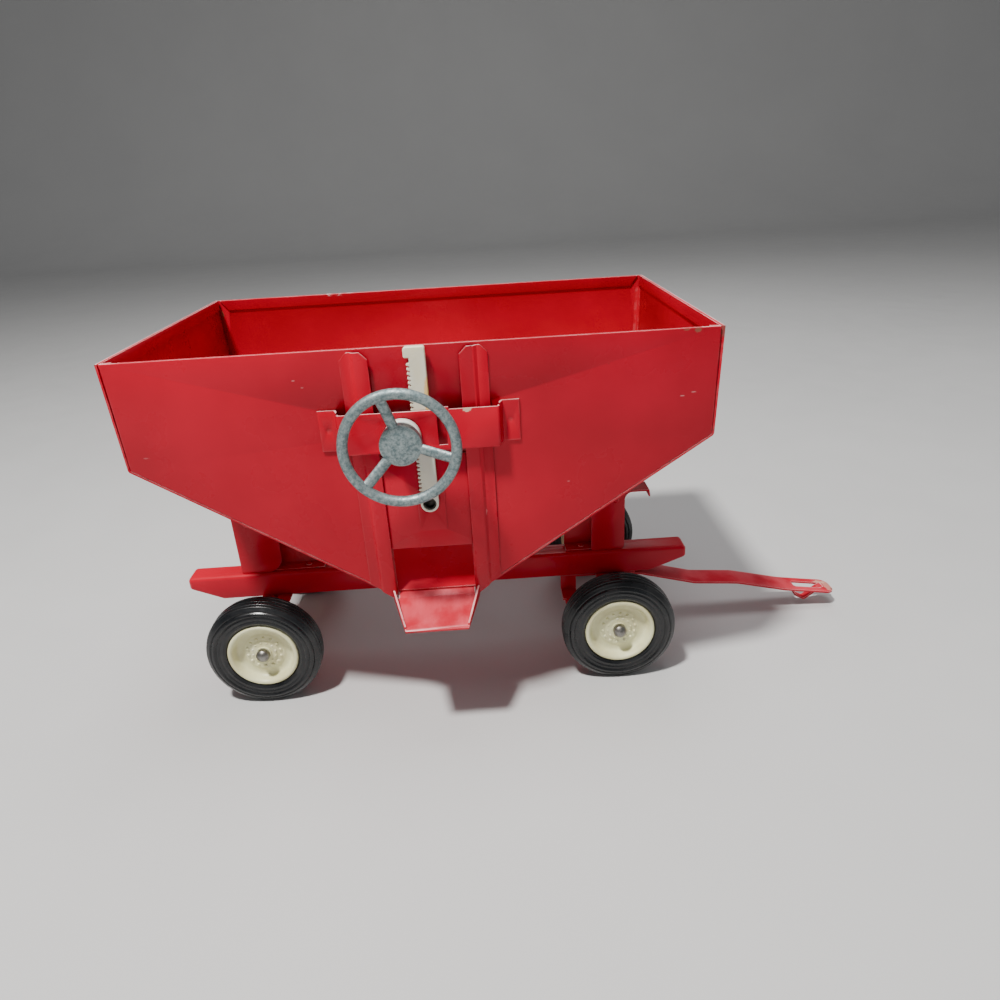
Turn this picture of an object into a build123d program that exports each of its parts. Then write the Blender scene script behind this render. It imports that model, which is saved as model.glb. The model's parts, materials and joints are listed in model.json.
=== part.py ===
from build123d import *
import os
from math import atan, cos, degrees, pi, radians, sin, sqrt, tan

# Toy-scale gravity wagon in pressed steel.  Millimetres.
# While it is modelled, +X is forward (the drawbar end), +Y points away from the
# discharge side, z = 0 is the ground and y = 0 is the centreline of box and frame.
# The whole set is moved at the end so that the origin is the bottom centre of its box.

# ---------------------------------------------------------------- driving dimensions
# hopper box
BOX_LENGTH = 240.0
BOX_WIDTH = 151.0
RIM_HEIGHT = 179.0
BREAK_HEIGHT = 134.5        # where the upright walls turn into slopes
THROAT_HALF = 20.5          # half the floor's width at the discharge panel
THROAT_HEIGHT = 69.0        # underside of the floor at the discharge panel
SHEET = 0.8
BEND = 1.0                  # inside radius of a fold
HEM_DEPTH = 5.5
HEM_THICKNESS = 0.9
HEM_MITRE = 4.0
RIM_ROUND = 0.35            # of a folded rim's two edges
CORNER_GAP = 1.2            # between an end sheet's hem and the far wall
RIM_FLARE = 1.6             # each end wall leans out by this at the rim
PANEL_FLARE = 1.0
SEAM = 0.3                  # open seam between the discharge panel and an end sheet
LAP_FLANGE = 6.0            # flange of an end sheet behind the discharge panel
OPENING_HALF = 17.2
OPENING_TOP = 101.0
PANEL_BOTTOM_DROP = 1.2

# gate and its guides
GATE_SHEET = 0.8
GATE_HALF = 21.5
GATE_LENGTH = 42.0
GATE_SHUT_GAP = 0.3         # between the shut gate and the chute
GATE_LIFT = 22.7            # how far the gate is raised at rest
GATE_SPARE_LIFT = 8.0
SLIDE_GAP = 0.25
RAIL_INNER = 17.6
RAIL_OUTER = 28.8
RAIL_STEP_AT = 23.6
RAIL_TOP_GAP = 1.2
RAIL_CORNER = 3.0
RAIL_BEND = 0.3
PAD_LIFT = 0.6              # embossed pad on the gate, under the rack's foot
PAD_LEFT, PAD_RIGHT = -4.2, 7.3
PAD_LOW, PAD_HIGH = 8.0, 27.0   # above the gate's lower edge
PAD_ROUND = 0.8
EYELET_RADIUS = 2.7         # hollow rivet that joins rack and gate
EYELET_WALL = 0.6
EYELET_FLOOR = 0.9
EYELET_SUNK = 0.7           # below the rack's face
EYELET_ROUND = 0.2

# rack and pinion
MODULE = 0.575
PINION_TEETH = 16
PRESSURE_ANGLE = radians(20)
ADDENDUM = 0.9 * MODULE
DEDENDUM = 1.25 * MODULE
BACKLASH = 0.12
RACK_THICKNESS = 2.6
RACK_RIGHT = 4.8
RACK_PITCH_X = -2.2
RACK_TOP = 179.3
RACK_HEAD_ROUND_LOW, RACK_HEAD_ROUND_LEFT, RACK_HEAD_ROUND_RIGHT = 0.7, 1.4, 1.0
RACK_EDGE_ROUND = 0.5
RACK_FOOT_STRETCH = 1.5     # the round foot is this much longer than it is wide
PLAIN_ABOVE_FOOT = 2.5      # plain length of the bar above the foot's hole
PLAIN_BELOW_HEAD = 1.5
RACK_HEAD_LENGTH = 4.3
RACK_HEAD_OVERHANG = 0.9
RACK_FOOT_ABOVE_GATE = 21.5     # hole of the rack above the gate's lower edge
RACK_HOLE_RADIUS = 2.8
RACK_FOOT_RADIUS = 3.8
PINION_HEIGHT = 144.5

# bridge bracket over the rails
BRIDGE_HALF = 31.3
BRIDGE_TAB_END = 40.2
BRIDGE_LOW, BRIDGE_HIGH = 137.5, 154.2
TAB_LOW, TAB_HIGH = 138.2, 155.2
RACK_FRONT_GAP = 0.45
BRIDGE_SHEET = 0.8
BRIDGE_RUN = 1.6            # length of the slanted step down to an end tab
BRIDGE_BEND = 0.5
GUIDE_DEPTH = 0.45          # of the guide tab, as a share of the step's height
GUIDE_MARGIN = 0.6          # between the guide tab and the slot's ends
CROWN_OVER = 0.6, 1.2       # raised top edge over the slot, left and right of it
GUIDE_SLOT_LEFT, GUIDE_SLOT_RIGHT = 7.2, 10.8
GUIDE_SLOT_LOW, GUIDE_SLOT_HIGH = 139.6, 152.6
WELD_BALL = 3.4             # spot welds on the bracket: shallow ball-shaped dimples
WELD_DEPTH = 0.35
GUIDE_GAP = 0.5             # between the rack's back and the bridge's guide tab

# hand wheel
SHAFT_RADIUS = 1.6
RUNNING_GAP = 0.06
NECK_RADIUS = 5.3
NECK_GAP = 0.15             # between the neck's back and the rack's face
COLLAR_RADIUS = 7.4
COLLAR_THICKNESS = 3.4
COLLAR_ROUND = 0.6
COLLAR_GAP = 0.25
HUB_RADIUS = 8.2
HUB_BACK_RADIUS = 5.6
HUB_LENGTH = 9.6
HUB_CONE = 4.6
HUB_DOME = 1.2
HUB_BORE = 6.7              # depth of the blind hole for the shaft
HANDWHEEL_RIM_RADIUS = 21.6     # to the middle of the rim's section
HANDWHEEL_RIM_SECTION = 2.1
HANDWHEEL_STANDOFF = 20.8       # rim plane in front of the discharge panel
SPOKE_ANGLES = (-14.5, 105.5, 225.5)
SPOKE_WIDTH = 4.2
SPOKE_THICKNESS = 2.5
SPOKE_ROOT_GAP = 0.3        # behind a spoke, above the hub's cone
SHAFT_HEAD_RADIUS = 3.2
SHAFT_HEAD_HEIGHT = 1.4

# discharge chute
CHUTE_LENGTH = 18.6         # from the discharge panel to the lip
CHUTE_LAP = 12.0            # under the hopper floor
CHUTE_NECK_HALF = 16.9
CHUTE_BACK_HALF = 19.1
CHUTE_LIP_HALF = 13.6
CHUTE_WALL_HIGH = 4.0
CHUTE_WALL_LOW = 1.0
CHUTE_WALL_BACK = 1.2       # the side walls stop this far behind the lip
CHUTE_CLEAR = 0.3           # in front of the rails

# frame channel
FRAME_REAR = -140.0
FRAME_FRONT = 132.0
FRAME_BOTTOM = 32.2
FRAME_TOP = 45.5
FRAME_HALF = 6.7
FRAME_SHEET = 1.0
FRAME_NOSE_BOTTOM = 39.8
FRAME_KNEE_REAR = -122.5
FRAME_KNEE_FRONT = 112.0
FRAME_ROUND = 2.2
NOSE_ROUND = 2.4
KNEE_ROUND = 4.0

# supports between frame and hopper
SUPPORT_HALF = 4.6
FRONT_SUPPORT_OUTER = 98.0
FRONT_SUPPORT_INNER = 80.0
REAR_SUPPORT_OUTER = -110.5
REAR_SUPPORT_INNER = -88.0
SUPPORT_FOOT_END = 66.0
GUSSET_HEIGHT = 7.0
FRONT_CORNER = 2.6
REAR_CORNER = 9.0
LIP_HEIGHT = 79.0
LIP_REACH = 13.0
LIP_ROUND = 5.0
LIP_DROP = 3.0
LIP_LEAN = 0.6
LIP_FAR_EDGE = 6.5
FOOT_RIVET_X = 75.0
SIDE_RIVET_Z = 75.0
SIDE_RIVET_FRONT = 93.0
SIDE_RIVET_REAR = -103.5
RIVET_RADIUS = 1.9
RIVET_DOME = 1.1

# running gear
WHEEL_RADIUS = 28.0
AXLE_REAR_X = -89.6
AXLE_FRONT_X = 86.0
AXLE_RADIUS = 1.6
AXLE_HALF = 57.6
CAP_RADIUS = 3.2
CAP_LENGTH = 3.4
CAP_GRIP = 1.6              # length of rod inside an end cap
CAP_SKIRT = 1.9             # straight part of a cap
KINGPIN_OFFSET = 7.0
KINGPIN_RADIUS = 2.0
KINGPIN_HEAD_RADIUS = 3.3
KINGPIN_HEAD = 1.4
SPACER_RADIUS = 3.1
BOLSTER_HALF = 38.0
BOLSTER_SHEET = 1.0
BOLSTER_BEHIND = 4.2
BOLSTER_AHEAD = 5.0
BOLSTER_LEG = 7.4
BOLSTER_BEND = 0.8
BOLSTER_SHOULDER = 6.0      # width of the legs' shoulders, cut away beside the rivet
PIVOT_GAP = 0.2
TAB_REACH = 6.0
TAB_HALF = 6.6

# drawbar
TONGUE_HALF = 6.9
TONGUE_SHEET = 1.0
TONGUE_BEND_X = 106.0
TONGUE_LOW_X, TONGUE_LOW_DROP = 138.0, 8.6
TONGUE_LEVEL_X, TONGUE_LEVEL_DROP = 162.0, 10.6
TONGUE_FALL_X, TONGUE_FALL_DROP = 190.0, 17.3
TONGUE_TIP_X, TONGUE_TIP_DROP = 219.0, 21.6
TONGUE_TIP_ROUND = 5.0
TONGUE_BEND_RADIUS = 14.0
HITCH_SLOT_LENGTH = 16.5
HITCH_SLOT_HALF = 2.75
HITCH_SLOT_ROUND = 1.6
HITCH_LAND = 6.0            # from the slot's front end to the tip
TONGUE_REAR = 3.2           # rear end of the drawbar, ahead of the axle
HOOK_HALF = 2.3
HOOK_SHEET = 0.9
HOOK_DEPTH = 7.0
HOOK_BEND = 1.2
HOOK_ROOT = 1.0             # overlap of hook and drawbar ahead of the slot
HOOK_NECK, HOOK_NECK_DROP = 1.6, 0.6
HOOK_BACK = 9.5
HOOK_CURL_BACK = 15.0
HOOK_CURL_UP = 3.0
TONGUE_RIVET_Y = 4.0
TONGUE_RIVET_RADIUS = 1.1
TONGUE_RIVET_HEAD = 1.9
TONGUE_RIVET_DOME = 0.8

# strap behind the front bolster
STRAP_REAR = 62.5
STRAP_EAR_FRONT = 71.0
STRAP_EAR_HEIGHT = 7.0
STRAP_FOOT = 11.0
STRAP_CURL = 1.7
STRAP_BEND = 0.5
STRAP_CURL_INSET = 1.2      # the curled end is narrower than the strap at both sides
STRAP_CURL_ROUND = 0.6

# wheels: u runs along the axle, 0 at the inner sidewall, TYRE_WIDTH at the outer one
TYRE_WIDTH = 14.0
WHEEL_OUTER_FACE = 58.3     # outer sidewall, from the centreline
BEAD_RADIUS = 17.2
RIM_LIP_RADIUS = 16.6
RIM_WELL_RADIUS = 12.5
RIM_FACE_U = 9.2            # front of the recessed disc
RIM_LIP_U = 13.4
HUB_BOSS_RADIUS = 5.0
LUG_RING_RADIUS = 7.8
LUG_RADIUS = 0.75
LUG_COUNT = 14
LUG_HEIGHT = 0.7
RIM_WALL = 1.4
AXLE_GAP = 0.08
HUB_TUBE_RADIUS = 3.2
SIDE_PLAY = 0.4             # between hub tube and bolster leg

# ---------------------------------------------------------------- derived places
HALF_LENGTH = BOX_LENGTH / 2
HALF_WIDTH = BOX_WIDTH / 2
PANEL_FACE = -HALF_WIDTH                    # outer face of the discharge panel
PANEL_BACK = PANEL_FACE + SHEET
END_SLOPE = (BREAK_HEIGHT - THROAT_HEIGHT) / (HALF_LENGTH - THROAT_HALF)
FLOOR_SLOPE = (BREAK_HEIGHT - THROAT_HEIGHT) / BOX_WIDTH
GATE_BACK = PANEL_FACE - SLIDE_GAP
GATE_FACE = GATE_BACK - GATE_SHEET
RAIL_UNDER = GATE_FACE - SLIDE_GAP          # underside of a rail's raised half
RAIL_FACE = RAIL_UNDER - SHEET
RACK_BACK = GATE_FACE - PAD_LIFT
RACK_FACE = RACK_BACK - RACK_THICKNESS
BRIDGE_UNDER = RACK_FACE - RACK_FRONT_GAP
BRIDGE_FACE = BRIDGE_UNDER - BRIDGE_SHEET
COLLAR_BACK = BRIDGE_FACE - COLLAR_GAP
COLLAR_FACE = COLLAR_BACK - COLLAR_THICKNESS
HUB_FACE = COLLAR_FACE - HUB_LENGTH
HANDWHEEL_PLANE = PANEL_FACE - HANDWHEEL_STANDOFF
PITCH_RADIUS = MODULE * PINION_TEETH / 2
PINION_X = RACK_PITCH_X - PITCH_RADIUS
GATE_SHUT_LOW = THROAT_HEIGHT + GATE_SHUT_GAP
GATE_LOW = GATE_SHUT_LOW + GATE_LIFT
RACK_FOOT_X = RACK_RIGHT - RACK_FOOT_RADIUS
RACK_FOOT_Z = GATE_LOW + RACK_FOOT_ABOVE_GATE
AXLE_HEIGHT = WHEEL_RADIUS
KINGPIN_X = AXLE_FRONT_X + KINGPIN_OFFSET
REAR_RIVET_X = AXLE_REAR_X - KINGPIN_OFFSET
BOLSTER_TOP = FRAME_BOTTOM - PIVOT_GAP
BOLSTER_UNDER = BOLSTER_TOP - BOLSTER_SHEET
TONGUE_TOP = BOLSTER_UNDER
WHEEL_INNER_FACE = WHEEL_OUTER_FACE - TYRE_WIDTH
# The cap's inner face stops the hub; this is the u of that seat, with a little end play.
WHEEL_SEAT = AXLE_HALF - CAP_GRIP - SIDE_PLAY - WHEEL_INNER_FACE


# ---------------------------------------------------------------- helpers
def upright(outline, y_front, thickness):
    """Sheet from an X-Z outline: starts at y_front and grows away from the discharge side."""
    return extrude(Plane.XZ.offset(-y_front) * outline, amount=-thickness)


def lengthwise(outline, x_start, length):
    """Prism from a Y-Z outline that runs along +X."""
    return extrude(Plane.YZ.offset(x_start) * outline, amount=length)


def flat(outline, z_low, height):
    """Prism from an X-Y outline that runs along +Z."""
    return extrude(Plane.XY.offset(z_low) * outline, amount=height)


def polygon(points):
    return make_face(Polyline(*points, close=True))


def corner(face, x, y):
    """The vertex of a flat outline nearest to (x, y)."""
    return face.vertices().sort_by_distance((x, y, 0))[0]


def rounded(face, corners):
    """Round the corners of a flat outline; corners holds (x, y, radius)."""
    for x, y, radius in corners:
        face = fillet(corner(face, x, y), radius)
    return face


def strip(points, thickness, bend):
    """Folded sheet seen end on: points run along one face and the sheet lies on their left,
    or on their right when the thickness is negative."""
    count = len(points)
    offset_points = []
    for i, (x, y) in enumerate(points):
        ax, ay = points[max(i - 1, 0)]
        bx, by = points[min(i + 1, count - 1)]
        normals = []
        for (px, py), (qx, qy) in (((ax, ay), (x, y)), ((x, y), (bx, by))):
            length = sqrt((qx - px) ** 2 + (qy - py) ** 2)
            if length > 0:
                normals.append((-(qy - py) / length, (qx - px) / length))
        nx = sum(n[0] for n in normals) / len(normals)
        ny = sum(n[1] for n in normals) / len(normals)
        scale = thickness / (nx * nx + ny * ny)
        offset_points.append((x + nx * scale, y + ny * scale))
    face = polygon(points + offset_points[::-1])
    for i in range(1, count - 1):
        (ax, ay), (x, y), (bx, by) = points[i - 1], points[i], points[i + 1]
        towards_sheet = ((x - ax) * (by - y) - (y - ay) * (bx - x)) * thickness > 0
        wide = bend + abs(thickness)
        on_points, on_offset = (wide, bend) if towards_sheet else (bend, wide)
        face = rounded(face, [(x, y, on_points), (*offset_points[i], on_offset)])
    return face


def slab_box(x_low, x_high, y_low, y_high, z_low, z_high):
    size = (x_high - x_low, y_high - y_low, z_high - z_low)
    centre = ((x_low + x_high) / 2, (y_low + y_high) / 2, (z_low + z_high) / 2)
    return Pos(*centre) * Box(*size)


def rod(start, direction, radius, length):
    """Round bar from a start point along a direction."""
    return extrude(Plane(origin=start, z_dir=direction) * Circle(radius), amount=length)


def dome_rivet(point, direction, radius, height):
    """Low domed rivet head that stands on a surface."""
    ball = (radius * radius + height * height) / (2 * height)
    profile = make_face(
        [
            Line((0, 0), (radius, 0)),
            RadiusArc((radius, 0), (0, height), -ball),
            Line((0, height), (0, 0)),
        ]
    )
    head = revolve(Plane.XZ * profile, Axis.Z)
    return Plane(origin=point, z_dir=direction) * head


# ---------------------------------------------------------------- hopper
def hopper_outline(inset, bottom, flare):
    """End-on outline of the hopper, inset by a distance measured square to its walls."""
    half = HALF_LENGTH - inset
    rise = inset * sqrt(1 + END_SLOPE * END_SLOPE)
    knee = BREAK_HEIGHT + rise - inset * END_SLOPE
    foot = half - (knee - bottom) / END_SLOPE
    rim = half + flare
    return [
        (foot, bottom), (half, knee), (rim, RIM_HEIGHT),
        (-rim, RIM_HEIGHT), (-half, knee), (-foot, bottom),
    ]


def hopper_section(inset, bottom, flare):
    points = hopper_outline(inset, bottom, flare)
    knees = [(*points[1], BEND + SHEET - inset), (*points[4], BEND + SHEET - inset)]
    return rounded(polygon(points), knees)


def end_slope_z(x):
    """Height of an end sheet's outer face at a distance x from the middle."""
    return BREAK_HEIGHT - (HALF_LENGTH - abs(x)) * END_SLOPE


def floor_z(y):
    """Height of the floor's underside."""
    return THROAT_HEIGHT + (y - PANEL_FACE) * FLOOR_SLOPE


def above_floor():
    """Everything on the inside of the far wall and the floor, as one long prism."""
    rise = SHEET * sqrt(1 + FLOOR_SLOPE * FLOOR_SLOPE)
    inner = HALF_WIDTH - SHEET
    knee = floor_z(inner) + rise
    points = [
        (PANEL_FACE, floor_z(PANEL_FACE) + rise), (inner, knee), (inner, RIM_HEIGHT + 1),
        (PANEL_FACE, RIM_HEIGHT + 1),
    ]
    section = rounded(polygon(points), [(inner, knee, BEND)])
    return lengthwise(section, -BOX_LENGTH, 2 * BOX_LENGTH)


def long_hem(half, y_low):
    """Folded-in top edge of a long wall, with mitred ends."""
    low = RIM_HEIGHT - HEM_DEPTH
    return upright(polygon([
        (-half, RIM_HEIGHT), (-half + HEM_MITRE, low), (half - HEM_MITRE, low), (half, RIM_HEIGHT),
    ]), y_low, HEM_THICKNESS)


def end_hem():
    """Folded-in top edge of the front end wall."""
    top = HALF_LENGTH + RIM_FLARE - SHEET
    low = top - RIM_FLARE * HEM_DEPTH / (RIM_HEIGHT - BREAK_HEIGHT)
    low_z = RIM_HEIGHT - HEM_DEPTH
    section = polygon([
        (top, RIM_HEIGHT), (top - HEM_THICKNESS, RIM_HEIGHT),
        (low - HEM_THICKNESS, low_z), (low, low_z),
    ])
    start = PANEL_BACK + SHEET
    return upright(section, start, HALF_WIDTH - SHEET - CORNER_GAP - start)


def round_rim(sheet, axis):
    """Round the two long edges of a folded rim."""
    top = sheet.edges().filter_by(axis).group_by(Axis.Z)[-1]
    longest = max(edge.length for edge in top)
    return fillet([edge for edge in top if edge.length > longest / 2], RIM_ROUND)


def make_discharge_panel():
    outline = hopper_section(SHEET + SEAM, THROAT_HEIGHT - PANEL_BOTTOM_DROP, PANEL_FLARE)
    panel = upright(outline, PANEL_FACE, SHEET)
    panel += long_hem(HALF_LENGTH - SHEET - LAP_FLANGE, PANEL_BACK)
    opening = slab_box(-OPENING_HALF, OPENING_HALF, PANEL_FACE - 1, PANEL_BACK + 1,
                       THROAT_HEIGHT - 5, OPENING_TOP)
    shaft_hole = rod((PINION_X, PANEL_FACE - 1, PINION_HEIGHT), (0, 1, 0),
                     SHAFT_RADIUS + RUNNING_GAP, SHEET + 2)
    panel -= opening + shaft_hole
    return round_rim(panel, Axis.X)


def make_far_and_floor_sheet():
    """Far wall and sloping floor, folded from one sheet and trimmed to the hopper's outline."""
    start = PANEL_BACK - 2
    path = [(start, floor_z(start)), (HALF_WIDTH, BREAK_HEIGHT), (HALF_WIDTH, RIM_HEIGHT)]
    sheet = lengthwise(strip(path, SHEET, BEND), -BOX_LENGTH, 2 * BOX_LENGTH)
    trim = upright(hopper_section(0, THROAT_HEIGHT, RIM_FLARE), PANEL_BACK, BOX_WIDTH)
    inner = HALF_WIDTH - SHEET
    sheet = (sheet & trim) + long_hem(HALF_LENGTH - SHEET - SEAM, inner - HEM_THICKNESS)
    return round_rim(sheet, Axis.X)


def make_end_sheet(side):
    """End wall and its slope, with a flange that laps behind the discharge panel."""
    points = hopper_outline(0, THROAT_HEIGHT, RIM_FLARE)[:3]
    wall = upright(strip(points, SHEET, BEND), PANEL_FACE, BOX_WIDTH - SHEET)
    flange = upright(strip(points, LAP_FLANGE, BEND), PANEL_BACK, SHEET)
    sheet = ((wall + flange) & above_floor()) + end_hem()
    sheet = round_rim(sheet, Axis.Y)
    return sheet if side > 0 else mirror(sheet, Plane.YZ)


# ---------------------------------------------------------------- gate guides
def make_guide_rail(side):
    """Joggled strip: outer half flat on the panel, inner half stands clear of the gate."""
    lift = PANEL_FACE - RAIL_UNDER
    path = [
        (RAIL_OUTER, PANEL_FACE), (RAIL_STEP_AT + lift / 2, PANEL_FACE),
        (RAIL_STEP_AT - lift / 2, RAIL_UNDER), (RAIL_INNER, RAIL_UNDER),
    ]
    section = strip(path[::-1], -SHEET, RAIL_BEND)
    top = RIM_HEIGHT - RAIL_TOP_GAP
    low = THROAT_HEIGHT - PANEL_BOTTOM_DROP
    rail = flat(section, low, top - low)
    trim_points = [
        (RAIL_INNER, low), (RAIL_INNER, top - RAIL_CORNER), (RAIL_INNER + RAIL_CORNER, top),
        (RAIL_OUTER - RAIL_CORNER, top), (RAIL_OUTER, top - RAIL_CORNER),
        (RAIL_OUTER, end_slope_z(RAIL_OUTER) + SHEET),
        (RAIL_INNER + 1, low),
    ]
    rail = rail & upright(polygon(trim_points), RAIL_FACE - 5, 10)
    return rail if side > 0 else mirror(rail, Plane.YZ)


def make_gate_plate():
    plate = slab_box(-GATE_HALF, GATE_HALF, GATE_FACE, GATE_BACK,
                     GATE_LOW, GATE_LOW + GATE_LENGTH)
    pad = slab_box(PAD_LEFT, PAD_RIGHT, RACK_BACK, GATE_FACE,
                   GATE_LOW + PAD_LOW, GATE_LOW + PAD_HIGH)
    pad = fillet(pad.edges().filter_by(Axis.Y), PAD_ROUND)
    hole = rod((RACK_FOOT_X, GATE_BACK, RACK_FOOT_Z), (0, -1, 0),
               EYELET_RADIUS, GATE_BACK - RACK_BACK)
    return plate + pad - hole


def make_gate_eyelet():
    """Hollow rivet: its blind end fills the gate's hole and its rim stands in the rack's."""
    length = GATE_BACK - RACK_FACE - EYELET_SUNK
    eyelet = rod((RACK_FOOT_X, GATE_BACK, RACK_FOOT_Z), (0, -1, 0), EYELET_RADIUS, length)
    eyelet -= rod((RACK_FOOT_X, GATE_BACK - EYELET_FLOOR, RACK_FOOT_Z), (0, -1, 0),
                  EYELET_RADIUS - EYELET_WALL, length)
    mouth = eyelet.edges().filter_by(GeomType.CIRCLE).group_by(Axis.Y)[0]
    return fillet(mouth, EYELET_ROUND)


def rack_outline():
    """Toothed bar with a wide head at the top and a round foot."""
    pitch = pi * MODULE
    tip_x = RACK_PITCH_X - ADDENDUM
    root_x = RACK_PITCH_X + DEDENDUM
    half_tooth = pitch / 4 - BACKLASH / 4
    tip_half = half_tooth - ADDENDUM * tan(PRESSURE_ANGLE)
    root_half = half_tooth + DEDENDUM * tan(PRESSURE_ANGLE)
    head_low = RACK_TOP - RACK_HEAD_LENGTH
    # A tooth gap lies level with the pinion's axis, where the pinion has a tooth.
    first = int((RACK_FOOT_Z + PLAIN_ABOVE_FOOT - PINION_HEIGHT) / pitch)
    last = int((head_low - PLAIN_BELOW_HEAD - PINION_HEIGHT) / pitch)
    points = []
    for i in range(first, last):
        middle = PINION_HEIGHT + (i + 0.5) * pitch
        points += [
            (root_x, middle - root_half), (tip_x, middle - tip_half),
            (tip_x, middle + tip_half), (root_x, middle + root_half),
        ]
    points += [(root_x, head_low), (tip_x - RACK_HEAD_OVERHANG, head_low),
               (tip_x - RACK_HEAD_OVERHANG, RACK_TOP), (RACK_RIGHT, RACK_TOP),
               (RACK_RIGHT, RACK_FOOT_Z), (root_x, RACK_FOOT_Z)]
    face = polygon(points)
    face = rounded(face, [
        (tip_x - RACK_HEAD_OVERHANG, head_low, RACK_HEAD_ROUND_LOW),
        (tip_x - RACK_HEAD_OVERHANG, RACK_TOP, RACK_HEAD_ROUND_LEFT),
        (RACK_RIGHT, RACK_TOP, RACK_HEAD_ROUND_RIGHT),
    ])
    foot = Circle(RACK_FOOT_RADIUS) + Pos(0, RACK_FOOT_STRETCH) * Circle(RACK_FOOT_RADIUS)
    foot = Pos(RACK_FOOT_X, RACK_FOOT_Z) * foot
    hole = Pos(RACK_FOOT_X, RACK_FOOT_Z) * Circle(RACK_HOLE_RADIUS)
    return face + foot - hole


def make_gate_rack():
    rack = upright(rack_outline(), RACK_FACE, RACK_THICKNESS)
    front = rack.edges().filter_by(Axis.Z).group_by(Axis.Y)[0].sort_by(SortBy.LENGTH)[-1]
    return fillet(front, RACK_EDGE_ROUND)


def make_bridge_bracket():
    """Strip over both rails, stepped back to welded end tabs, with a lanced guide for the rack."""
    rise = PANEL_FACE - BRIDGE_UNDER
    path = [
        (-BRIDGE_TAB_END, PANEL_FACE), (-BRIDGE_HALF - BRIDGE_RUN, PANEL_FACE),
        (-BRIDGE_HALF, BRIDGE_UNDER), (BRIDGE_HALF, BRIDGE_UNDER),
        (BRIDGE_HALF + BRIDGE_RUN, PANEL_FACE), (BRIDGE_TAB_END, PANEL_FACE),
    ]
    section = strip(path[::-1], BRIDGE_SHEET, BRIDGE_BEND)
    bracket = flat(section, BRIDGE_LOW, TAB_HIGH - BRIDGE_LOW)
    middle = BRIDGE_HALF + BRIDGE_RUN / 2
    notch_top = slab_box(-middle, middle, BRIDGE_FACE - 1, PANEL_FACE, BRIDGE_HIGH, TAB_HIGH + 1)
    crown = slab_box(GUIDE_SLOT_LEFT + CROWN_OVER[0], GUIDE_SLOT_RIGHT + CROWN_OVER[1],
                     BRIDGE_FACE - 2, PANEL_FACE, BRIDGE_HIGH - 1, TAB_HIGH + 2)
    bracket -= notch_top - crown
    for side in (-1, 1):
        end = slab_box(0, BRIDGE_TAB_END - middle + 1, BRIDGE_FACE - 1, PANEL_FACE + 1,
                       BRIDGE_LOW - 1, TAB_LOW)
        place = middle if side > 0 else -BRIDGE_TAB_END - 1
        bracket -= Pos(place, 0, 0) * end
    slot = slab_box(GUIDE_SLOT_LEFT, GUIDE_SLOT_RIGHT, BRIDGE_FACE - 1, BRIDGE_UNDER + 1,
                    GUIDE_SLOT_LOW, GUIDE_SLOT_HIGH)
    bracket -= slot
    guide_left = RACK_RIGHT + GUIDE_GAP
    guide_low, guide_high = GUIDE_SLOT_LOW + GUIDE_MARGIN, GUIDE_SLOT_HIGH - GUIDE_MARGIN
    guide = slab_box(guide_left, guide_left + BRIDGE_SHEET,
                     BRIDGE_UNDER, BRIDGE_UNDER + rise * GUIDE_DEPTH, guide_low, guide_high)
    web = slab_box(guide_left, GUIDE_SLOT_LEFT, BRIDGE_UNDER, BRIDGE_UNDER + BRIDGE_SHEET,
                   guide_low, guide_high)
    bracket += guide + web
    bracket -= rod((PINION_X, BRIDGE_FACE - 1, PINION_HEIGHT), (0, 1, 0),
                   NECK_RADIUS + RUNNING_GAP, BRIDGE_SHEET + 2)
    weld_x = (BRIDGE_HALF + BRIDGE_RUN + BRIDGE_TAB_END) / 2
    weld_y = PANEL_FACE - BRIDGE_SHEET - WELD_BALL + WELD_DEPTH
    for x in (-weld_x, weld_x):
        bracket -= Pos(x, weld_y, (TAB_LOW + TAB_HIGH) / 2) * Sphere(WELD_BALL)
    return bracket


# ---------------------------------------------------------------- hand wheel and pinion
def involute_point(base, angle):
    """Point of an involute that starts on the base circle at angle zero."""
    return (
        base * (cos(angle) + angle * sin(angle)),
        base * (sin(angle) - angle * cos(angle)),
    )


def turned(point, angle):
    x, y = point
    return (x * cos(angle) - y * sin(angle), x * sin(angle) + y * cos(angle))


def pinion_outline():
    tip = PITCH_RADIUS + ADDENDUM
    root = PITCH_RADIUS - DEDENDUM
    base = PITCH_RADIUS * cos(PRESSURE_ANGLE)
    involute_at_pitch = tan(PRESSURE_ANGLE) - PRESSURE_ANGLE
    half_tooth = (pi * MODULE / 4 - BACKLASH / 4) / PITCH_RADIUS
    start = half_tooth + involute_at_pitch
    tip_roll = sqrt((tip / base) ** 2 - 1)
    steps = 5
    flank = [turned((root, 0), -start)]
    flank += [
        turned(involute_point(base, tip_roll * i / steps), -start) for i in range(steps + 1)
    ]
    tooth = flank + [(x, -y) for x, y in reversed(flank)]
    points = []
    for i in range(PINION_TEETH):
        points += [turned(point, 2 * pi * i / PINION_TEETH) for point in tooth]
    return polygon(points)


def make_rack_pinion():
    """Pinion with the neck that turns in the bridge and the collar that runs on its face."""
    front = RACK_FACE - NECK_GAP
    gear = upright(Pos(PINION_X, PINION_HEIGHT) * pinion_outline(), front, RACK_BACK - front)
    neck = rod((PINION_X, front, PINION_HEIGHT), (0, -1, 0), NECK_RADIUS, front - COLLAR_BACK)
    collar = rod((PINION_X, COLLAR_BACK, PINION_HEIGHT), (0, -1, 0), COLLAR_RADIUS,
                 COLLAR_THICKNESS)
    collar = fillet(collar.edges().filter_by(GeomType.CIRCLE).group_by(Axis.Y)[0], COLLAR_ROUND)
    bore = rod((PINION_X, RACK_BACK + 1, PINION_HEIGHT), (0, -1, 0), SHAFT_RADIUS,
               RACK_BACK - COLLAR_FACE + 2)
    return gear + neck + collar - bore


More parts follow.
